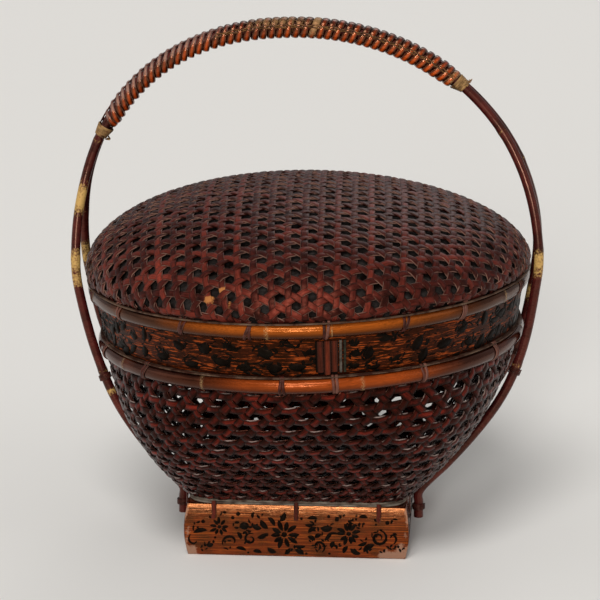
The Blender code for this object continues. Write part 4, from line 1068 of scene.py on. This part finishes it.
def leafStroke(place, x, z, length, degrees, width, chance, bend=0.12):
    t = np.linspace(0, 1, 7)
    turn = math.radians(degrees)
    along, off = (t - 0.5) * length, bend * length * np.sin(math.pi * t) * chance.choice((-1, 1))
    spine = np.column_stack([
        x + along * math.cos(turn) - off * math.sin(turn), z + along * math.sin(turn) + off * math.cos(turn)])
    return brushStroke(place, spine, 0.12 + width * np.sin(math.pi * t) ** 0.7, chance.uniform(0.1, 0.9))


def drawOrnament(place, mirror, chance):
    strokes = []
    for x, z, radius, petals, first in ornament["rosettes"]:
        x = x * mirror
        for i in range(petals):
            degrees = first + 360 / petals * i + chance.uniform(-6, 6)
            reach = radius * chance.uniform(0.85, 1.1)
            turn = math.radians(degrees)
            middle = 0.62 * reach
            strokes.append(leafStroke(
                place, x + middle * math.cos(turn), z + middle * math.sin(turn), 0.74 * reach, degrees,
                0.34 * radius, chance, 0.04))
        strokes.append(leafStroke(place, x, z, 0.42 * radius, 20, 0.40 * radius, chance, 0))
    for x, z, radius, turns, first, hand, width in ornament["scrolls"]:
        t = np.linspace(0, 1, 15)
        turn = math.radians(first) + hand * mirror * 2 * math.pi * turns * t
        if mirror < 0:
            turn = turn + math.pi - 2 * math.radians(first)
        reach = radius * (1 - 0.72 * t)
        spine = np.column_stack([x * mirror + reach * np.cos(turn), z + reach * np.sin(turn)])
        strokes.append(brushStroke(place, spine, 1.35 * width * (0.25 + 0.8 * np.sin(math.pi * t ** 0.8)), 0.5))
    for x, z, length, degrees, width in ornament["leaves"]:
        strokes.append(leafStroke(place, x * mirror, z, 1.25 * length, degrees * mirror, 1.4 * width, chance))
    for i in range(ornament["sprigs"]):
        x, z, lean = chance.uniform(-59, 59), chance.uniform(3, 25.5), chance.uniform(-70, 70)
        for side in (-1, 1):
            strokes.append(leafStroke(
                place, x + 1.1 * side, z + 0.5 * side, chance.uniform(1.6, 3.2), lean + 50 * side,
                chance.uniform(0.8, 1.6), chance))
    for x, z, size in ornament["dots"]:
        strokes.append(leafStroke(place, x * mirror, z, size, chance.uniform(0, 180), size, chance, 0))
    return strokes


def buildBoardOrnament():
    for seed, (name, mirror) in enumerate((("front", 1), ("right", -1), ("back", 1), ("left", -1))):
        turn = footTurn(name)

        def onBoard(spine, lift):
            height = np.clip(spine[:, 1], 1.2, 28.8) * mm
            slope = 4 * foot["bulge"] / foot["height"] * (2 * height / foot["height"] - 1)
            size = np.hypot(1, slope)
            wave = foot["stray"] * smoothNoise(14 + seed, spine[:, 0] * mm + 0.3 * height, 0.03)
            out = boardFace(height) + wave + lift / size
            points = np.column_stack([spine[:, 0] * mm, -out, height + lift * slope / size])
            return points @ turn.T

        strokes = drawOrnament(onBoard, mirror, random.Random(200 + seed))
        painted = swept(
            f"footOrnament{name.title()}", strokes, inkFinish, mm, ornament["strokeHalf"], sides=ornament["sides"])
        dress(painted, "basket", "painted_lacquer")


buildBoardOrnament()

# Skirt: large dark flowers and leaves, drawn closer together than on the foot. Degrees round, mm up, size.
skirtOrnament = {
    "front": (
        (-38, 7, 8, 4.5, 10), (-31.5, 15, 7, 5, -20), (-28.5, 5, 8, 4, 5), (-24, 14.5, 6, 5.5, 60), (-19.5, 8, 9, 4, -8),
        (-16.5, 16.5, 5, 3.4, 0), (-13.0, 4.0, 6, 2.6, 8), (-7.2, 14.6, 7.5, 5.6, -15), (-5.2, 5.0, 7.8, 5.0, 5),
        (0.6, 5.4, 8.0, 4.4, 0), (3.4, 14.0, 4.4, 2.4, 45), (5.5, 9.8, 3.4, 2.0, 60), (-1.0, 17.6, 6.0, 2.0, -10),
        (14.8, 17.6, 3.4, 2.4, 30), (15.2, 11.6, 4.0, 3.6, 80), (15.4, 4.6, 4.6, 3.4, 10), (19.0, 11.0, 6.6, 4.4, 70),
        (20.4, 3.2, 6.6, 2.6, 10), (23.4, 18.2, 7.8, 3.2, 5), (26.5, 6.2, 6.0, 2.6, 30), (32.5, 12.8, 8.6, 4.8, 60),
        (34.5, 5.0, 7.4, 4.4, 70), (41, 9.5, 9.6, 5.4, 10), (47, 16, 7, 4, 20), (50, 6, 7, 4, -20)),
    "rest": (56, 318), "every": 4.2, "flecks": 760, "height": 20.5,
}


def onSkirt(spine, lift):
    height = skirt["bottom"] + np.clip(spine[:, 1], 0.6, 26) * mm
    around = spine[:, 0] * mm / skirt["radius"]
    return settled(onCircle(skirtFace(height) + lift, around, height))


def buildSkirtOrnament():
    chance = random.Random(55)
    perDegree = math.radians(1) * skirt["radius"] / mm
    strokes = []
    spots = list(skirtOrnament["front"])
    degrees = skirtOrnament["rest"][0]
    while degrees < skirtOrnament["rest"][1]:
        for up in (5.0 + chance.uniform(-1.5, 1.5), 14.5 + chance.uniform(-2.5, 2.5)):
            spots.append((degrees + chance.uniform(-1.2, 1.2), up, chance.uniform(5.5, 9.5), chance.uniform(3.0, 5.4),
                          chance.uniform(-30, 80)))
        degrees += skirtOrnament["every"] * chance.uniform(0.85, 1.2)
    for around, up, length, width, slant in spots:
        x = around * perDegree
        strokes.append(leafStroke(onSkirt, x, up, 1.25 * length, slant, 1.5 * width, chance, 0.05))
        for i in range(chance.choice((4, 5, 6, 7))):
            turn = chance.uniform(0, 360)
            reach = 0.6 * length * chance.uniform(0.8, 1.3)
            strokes.append(leafStroke(
                onSkirt, x + reach * math.cos(math.radians(turn)), up + 0.6 * reach * math.sin(math.radians(turn)),
                chance.uniform(2.6, 5.4), turn + chance.uniform(30, 90), chance.uniform(1.4, 2.8), chance, 0.15))
    for i in range(skirtOrnament["flecks"]):
        around, up = chance.uniform(-45, 315), chance.uniform(0.8, skirtOrnament["height"])
        length, width = chance.uniform(2, 6.5), chance.uniform(0.4, 1.5)
        if abs(around - 9.5) > 5.5:
            strokes.append(leafStroke(
                onSkirt, around * perDegree, up, length, chance.gauss(0, 22), width, chance, 0.08))
    painted = swept("skirtOrnament", strokes, inkFinish, mm, 0.05 * mm, sides=ornament["sides"])
    dress(painted, "lid", "painted_lacquer")


buildSkirtOrnament()
print("ornament brushed")

# Rods: whole canes bent over the basket, one in front of and one behind its middle. Upright places in mm.
rod = {
    "radius": 2.75 * mm, "stray": 0.18 * mm, "step": 6, "nodeEvery": 0.068, "nodeSwell": 0.10,
    "rightPlaces": (
        (67.2, 27.0, 13.5), (67.2, 27.0, 21.7), (68.1, 27.0, 30.2), (83.4, 25.8, 46.3), (96.8, 24.6, 62.4),
        (107.9, 23.4, 78.7), (116.0, 22.1, 95.4), (122.6, 21.0, 115.8), (127.5, 21.0, 139.9), (130.0, 20.4, 160.0),
        (127.9, 15.9, 185.5), (120.8, 9.6, 210.0), (109.1, 4.8, 232.0), (91.6, 2.9, 252.6), (70.1, 2.9, 269.2),
        (45.2, 2.9, 281.2), (20.1, 2.9, 287.8), (-8.0, 2.9, 290.0)),
    "leftPlaces": (
        (-35.6, 2.9, 287.8), (-59.1, 2.9, 281.2), (-81.3, 2.9, 269.2), (-99.8, 2.9, 252.6), (-114.0, 2.9, 232.0),
        (-123.1, 5.5, 210.0), (-128.5, 12.6, 185.5), (-130.0, 19.4, 160.0), (-127.5, 21.0, 139.9),
        (-122.6, 21.0, 115.8), (-116.0, 22.1, 95.4), (-107.9, 23.4, 78.7), (-96.8, 24.6, 62.4), (-83.4, 25.8, 46.3),
        (-68.1, 27.0, 30.2), (-67.2, 27.0, 21.7), (-67.2, 27.0, 13.5)),
    # Height range in mm and side of each gilt or bare patch: front rod, then back rod.
    "gilt": (
        ((186, 208, -1), (147, 171, -1), (84, 89, -1), (147, 164, 1)), ((123, 136, 1), (150, 168, -1))),
}


def smoothed(places, steps):
    places = np.asarray(places, float)
    padded = np.concatenate([places[:1], places, places[-1:]])
    points = []
    for i in range(len(places) - 1):
        a, b, c, d = padded[i:i + 4]
        for t in np.arange(steps) / steps:
            points.append(0.5 * (
                2 * b + (c - a) * t + (2 * a - 5 * b + 4 * c - d) * t * t + (3 * b - a - 3 * c + d) * t ** 3))
    points.append(places[-1])
    return np.array(points)


def buildRods():
    places = np.array(rod["rightPlaces"] + rod["leftPlaces"]) * mm
    for index, (name, side) in enumerate((("Front", -1), ("Back", 1))):
        line = smoothed(places * (1, side, 1), rod["step"])
        run = np.concatenate([[0], np.cumsum(np.linalg.norm(np.diff(line, axis=0), axis=1))])
        free = np.clip(np.minimum(run, run[-1] - run) / 0.05, 0, 1) * (line[:, 2] < 0.225)
        line = line + np.column_stack([
            rod["stray"] * smoothNoise(40 + index, run, 0.06) * free,
            rod["stray"] * smoothNoise(50 + index, run, 0.05) * free, 0 * run])
        phase = (run + 0.02 * index) % rod["nodeEvery"] - rod["nodeEvery"] / 2
        swell = 1 + rod["nodeSwell"] * np.exp(-(phase / (1.4 * mm)) ** 2) - 0.03
        mark = 0.35 * np.exp(-(phase / (2 * mm)) ** 2)
        for low, high, hand in rod["gilt"][index]:
            middle, reach = (low + high) / 2 * mm, (high - low) / 2 * mm
            patch = 0.52 * np.exp(-(np.abs(line[:, 2] - middle) / reach) ** 4) * (line[:, 0] * hand > 0)
            mark = np.maximum(mark, patch * (1 + 0.25 * smoothNoise(low, run, 0.008)))
        tangent = np.gradient(line, axis=0)
        outward = np.cross(tangent, (0, 1.0, 0))
        outward /= np.linalg.norm(outward, axis=1)[:, None]
        tone = 0.5 + 0.25 * smoothNoise(60 + index, run, 0.03)
        cane = swept(
            f"handleRod{name}", [path(settled(line), settled(line + outward * mm), swell=swell, tone=tone, mark=mark)],
            rodFinish, 2 * rod["radius"], rod["radius"], sides=14)
        dress(cane, "basket", "rod_lacquer", f"handle_rod_{name.lower()}")
        for hand, ordered in (("right", places), ("left", places[::-1])):
            ordered = ordered * (1, side, 1)
            at, towards = ordered[6], ordered[7] - ordered[5]
            buildLashing(f"rimLashing{hand.title()}{name}", at, towards, f"rim_lashing_{hand}_{name.lower()}")
            at, towards = ordered[0] + 0.78 * (ordered[1] - ordered[0]), ordered[1] - ordered[0]
            buildLashing(f"footLashing{hand.title()}{name}", at, towards, f"foot_lashing_{hand}_{name.lower()}")


lashing = {"turns": 3.5, "length": 3.0 * mm, "radius": 3.35 * mm, "caneHalf": 0.34 * mm}


def buildLashing(name, at, towards, node):
    towards = towards / np.linalg.norm(towards)
    first = np.cross(towards, (0, 1.0, 0))
    first /= np.linalg.norm(first)
    second = np.cross(towards, first)
    turn = np.linspace(0, 2 * math.pi * lashing["turns"], 72)
    lines = []
    for radius in (lashing["radius"], lashing["radius"] + mm):
        ring = np.outer(np.cos(turn), first) + np.outer(np.sin(turn), second)
        rise = np.outer((turn / turn[-1] - 0.5) * lashing["length"], towards)
        lines.append(settled(at + ring * radius + rise))
    bound = swept(
        name, [path(*lines, tone=0.35, mark=0.1)], tieFinish, 2.4 * lashing["caneHalf"], lashing["caneHalf"])
    dress(bound, "basket", "bare_cane", node)


buildRods()

# Grip: strips pack the rods, a cane is wound round them, and pale cane binds both ends.
grip = {
    "halfSpan": 130 * mm, "widest": 160 * mm, "rise": 130 * mm, "squareness": 2.15, "skew": 8 * mm,
    "rightEnd": 44.2, "leftEnd": 148.6, "endLength": 7.0 * mm, "turns": 48, "perTurn": 20,
    "halfHeight": 5.15 * mm, "halfWidth": 5.75 * mm, "lift": -0.75 * mm, "boxiness": 2.4, "beadRise": 0.65 * mm,
    "caneWidth": 4.5 * mm, "caneHalf": 0.85 * mm, "stripWidth": 6.2 * mm, "splitShare": 0.60,
}
archTurn = np.radians(np.linspace(grip["rightEnd"], grip["leftEnd"], 900))
archRise = np.sin(archTurn) ** (2 / grip["squareness"])
archX = grip["halfSpan"] * np.sign(np.cos(archTurn)) * np.abs(np.cos(archTurn)) ** (2 / grip["squareness"])
archX = archX - grip["skew"] * archRise ** 2
archZ = grip["widest"] + grip["rise"] * archRise
archRun = np.concatenate([[0], np.cumsum(np.hypot(np.diff(archX), np.diff(archZ)))])
archDX, archDZ = np.gradient(archX, archRun), np.gradient(archZ, archRun)


def onGrip(distance, out, sideways):
    dx, dz = np.interp(distance, archRun, archDX), np.interp(distance, archRun, archDZ)
    size = np.hypot(dx, dz)
    x = np.interp(distance, archRun, archX) + dz / size * out
    z = np.interp(distance, archRun, archZ) - dx / size * out
    return settled(np.stack(np.broadcast_arrays(x, sideways, z), -1))


def roundGrip(turn, halfHeight, halfWidth, boxiness):
    c, s = np.cos(turn), np.sin(turn)
    reach = (np.abs(c) ** boxiness + np.abs(s) ** boxiness) ** (-1 / boxiness)
    return halfHeight * reach * c, -halfWidth * reach * s


def buildGrip():
    total = archRun[-1]
    for name, low, thick in (("Outer", 3.05 * mm, 0.8 * mm), ("Inner", -4.35 * mm, 1.3 * mm)):
        at = np.linspace(0, total, 90)
        thin = 0.4 + 0.6 * eased(np.minimum(at, total - at) / (10 * mm))
        out = low + thick * thin / 2 if name == "Outer" else low + thick - thick * thin / 2
        strip = swept(
            f"gripStrip{name}", [path(onGrip(at, out, 0.0), onGrip(at, out + mm, 0.0), swell=thin)], rodFinish,
            grip["stripWidth"], thick / 2, squareness=5, sides=16)
        dress(strip, "basket", "rod_lacquer", f"grip_strip_{name.lower()}")

    turn = np.linspace(0, 2 * math.pi * grip["turns"], grip["turns"] * grip["perTurn"] + 1)
    start = grip["endLength"] + 1.2 * mm
    distance = start + (total - 2 * start) * turn / turn[-1]
    left = eased((distance / total - 0.45) / 0.3)
    slant = np.tan(np.radians(10 + 26 * left))
    ends = eased(np.minimum(turn, turn[-1] - turn) / (4 * math.pi))
    narrow = 1 - 0.10 * left - 0.12 * (1 - ends)
    chance = random.Random(77)
    perTurn = [chance.uniform(-1, 1) for _ in range(grip["turns"] + 1)]
    own = np.interp(turn, 2 * math.pi * np.arange(grip["turns"] + 1), perTurn)
    top, face = np.cos(turn), np.abs(np.sin(turn))
    waist = (1 - left) * np.exp(-((top - 0.22) / np.where(top < 0.22, 0.45, 0.22)) ** 2)
    bead = grip["beadRise"] * (face * (1 - waist) * (1 - 0.5 * left))
    lines = []
    for extra in (0, mm):
        out, sideways = roundGrip(
            turn, grip["halfHeight"] * narrow + extra, grip["halfWidth"] + bead + extra, grip["boxiness"])
        lines.append(onGrip(distance + 0.35 * mm * own - slant * out * ends, out + grip["lift"], sideways))
    along = distance / total
    bareTop = 0.42 * np.exp(-((along - 0.475) / 0.10) ** 4)
    bareTurn = 0.7 * np.exp(-((along - 0.385) / 0.007) ** 2) + 0.42 * np.exp(-((distance - start) / (3.5 * mm)) ** 2)
    mark = np.maximum(np.clip(top * 1.5 + 0.35, 0, 1) * np.maximum(bareTop, 0.52 * left), bareTurn)
    tone = 0.62 - 0.32 * top + 0.2 * own - 0.05 * left + 0.3 * eased(1 - along / 0.35)
    swell = 0.93 - 0.16 * waist - left * (0.04 + 0.46 * eased((top + 0.3) / 0.9))
    split = int(round(grip["splitShare"] * grip["turns"])) * grip["perTurn"]
    cane = []
    for name, part, finish in (
        ("gripCane", slice(0, split + 1), gripFinish), ("gripCaneLeft", slice(split, None), wornGripFinish)):
        wound = path(*[line[part] for line in lines], swell=swell[part], tone=tone[part], mark=mark[part])
        cane.append(swept(name, [wound], finish, grip["caneWidth"], grip["caneHalf"], backShare=0.75, sides=10))

    # A leader lies along the turns on both faces, over one and under the next.
    at = np.linspace(9 * mm, total * 0.62, 260)
    phase = (at - start) / (total - 2 * start) * 2 * math.pi * grip["turns"]
    leaders = []
    for side in (-1, 1):
        for place, hand in ((0.55, 1), (1.75, -1)):
            out = place * mm + 0.3 * mm * np.sin(phase / 2 + place) + grip["lift"] / 2
            depth = side * (grip["halfWidth"] + 0.55 * mm + 0.32 * hand * mm * np.cos(phase / 2))
            leaders.append(path(onGrip(at, out, depth), onGrip(at, out, depth + side * mm), tone=0.5,
                                swell=0.9 + 0.25 * smoothNoise(71 + place, at, 0.01)))
    cane.append(swept("gripLeaders", leaders, leaderFinish, 0.95 * mm, 0.3 * mm))
    dress(joined("gripWinding", cane), "basket", "bare_cane", "grip_winding")

    for name, low in (("Right", 0.0), ("Left", total - grip["endLength"])):
        turn = np.linspace(0, 2 * math.pi * 4.5, 100)
        share = turn / turn[-1]
        at = low + 0.8 * mm + (grip["endLength"] - 1.6 * mm) * share
        thick = share if name == "Right" else 1 - share
        lines = []
        for extra in (0, mm):
            out, sideways = roundGrip(turn, (3.25 + 1.25 * thick) * mm + extra, (5.75 + 0.2 * thick) * mm + extra, 2.3)
            lines.append(onGrip(at, out + thick * 0.7 * grip["lift"], sideways))
        tone = 0.5 + 0.3 * smoothNoise(90, turn, 2.0)
        binding = [swept(
            "binding", [path(*lines, tone=tone, mark=0.16 + 0.12 * np.sin(turn * 1.7))], caneFinish,
            1.45 * mm, 0.42 * mm)]
        frays = []
        for i in range(16):
            angle = chance.uniform(-1.2, 1.2) + (0 if name == "Right" else math.pi)
            sign = -1 if name == "Right" else 1
            base = (low + grip["endLength"] / 2) + sign * 2.5 * mm
            reach = np.linspace(0, 1, 5)
            length = chance.uniform(3, 8) * mm
            out, sideways = roundGrip(np.full(5, angle), 4.6 * mm, 6.0 * mm, 2.4)
            at = np.clip(base + sign * reach * length, 0.2 * mm, total - 0.2 * mm)
            out = out * (1 + 0.3 * reach ** 2)
            frays.append(path(onGrip(at, out, sideways), onGrip(at, out * 1.2, sideways * 1.2),
                              swell=1 - 0.7 * reach, tone=chance.random(), mark=0.3))
        binding.append(swept("frays", frays, caneFinish, 0.9 * mm, 0.25 * mm, sides=6))
        dress(joined(f"gripEnd{name}", binding), "basket", "bare_cane", f"grip_end_{name.lower()}")


buildGrip()
print("handle ready")

# Stage: a pale floor, a soft lamp in front and above, weaker ones low, behind and at each side, and a dim white room.
stage = {"floor": "#e9e6e1", "floorRadius": 16.0, "room": 0.30, "target": (0, 0, 0.150), "azimuth": 4.0,
         "elevation": 14.0, "distance": 1.5, "focal": 2640, "frame": 600, "targetPixel": (304, 270.2)}


def buildStage():
    turn = np.linspace(0, 2 * math.pi, 96, endpoint=False)
    ring = np.column_stack([np.cos(turn), np.sin(turn), 0 * turn]) * stage["floorRadius"]
    mesh = bpy.data.meshes.new("floor")
    mesh.from_pydata((ring - (0, 0, 0.0002)).tolist(), [], [tuple(range(96))])
    floor = bpy.data.objects.new("floor", mesh)
    bpy.context.scene.collection.objects.link(floor)
    material = bpy.data.materials.new("matteWhitePaper")
    material.use_nodes = True
    shader = material.node_tree.nodes["Principled BSDF"]
    shader.inputs["Base Color"].default_value = toLinear(stage["floor"])
    shader.inputs["Roughness"].default_value = 0.9
    shader.inputs["Specular IOR Level"].default_value = 0.1
    mesh.materials.append(material)

    world = bpy.data.worlds.new("paleRoom")
    world.use_nodes = True
    tree = world.node_tree
    tree.nodes.clear()
    room = addNode(tree, "ShaderNodeBackground", inputs={"Color": (1, 1, 1, 1), "Strength": stage["room"]})
    addNode(tree, "ShaderNodeOutputWorld", inputs={"Surface": room.outputs[0]})
    bpy.context.scene.world = world

    for name, place, spread, strength in (
        ("keyLamp", (-0.15, -1.0, 1.45), 24, 1.5), ("lowLamp", (-0.12, -1.5, 0.58), 10, 1.3),
        ("rightLamp", (1.3, -0.4, 0.8), 30, 0.2), ("leftLamp", (-1.4, -0.2, 0.7), 30, 0.15),
        ("backLamp", (0.3, 1.3, 1.2), 30, 0.3),
    ):
        lamp = bpy.data.lights.new(name, "SUN")
        lamp.angle, lamp.energy = math.radians(spread), strength
        item = bpy.data.objects.new(name, lamp)
        item.location = place
        item.rotation_euler = (Vector((0, 0, 0.14)) - Vector(place)).to_track_quat("-Z", "Y").to_euler()
        bpy.context.scene.collection.objects.link(item)

    azimuth, elevation = math.radians(stage["azimuth"]), math.radians(stage["elevation"])
    back = Vector((
        math.sin(azimuth) * math.cos(elevation), -math.cos(azimuth) * math.cos(elevation), math.sin(elevation)))
    eye = bpy.data.cameras.new("camera")
    eye.sensor_width = 36
    eye.lens = eye.sensor_width * stage["focal"] / stage["frame"]
    eye.shift_x = (stage["frame"] / 2 - stage["targetPixel"][0]) / stage["frame"]
    eye.shift_y = (stage["targetPixel"][1] - stage["frame"] / 2) / stage["frame"]
    camera = bpy.data.objects.new("camera", eye)
    camera.location = Vector(stage["target"]) + back * stage["distance"]
    camera.rotation_euler = back.to_track_quat("Z", "Y").to_euler()
    bpy.context.scene.collection.objects.link(camera)
    bpy.context.scene.camera = camera
    bpy.context.scene.view_settings.view_transform = "Standard"


buildStage()
print("stage ready")
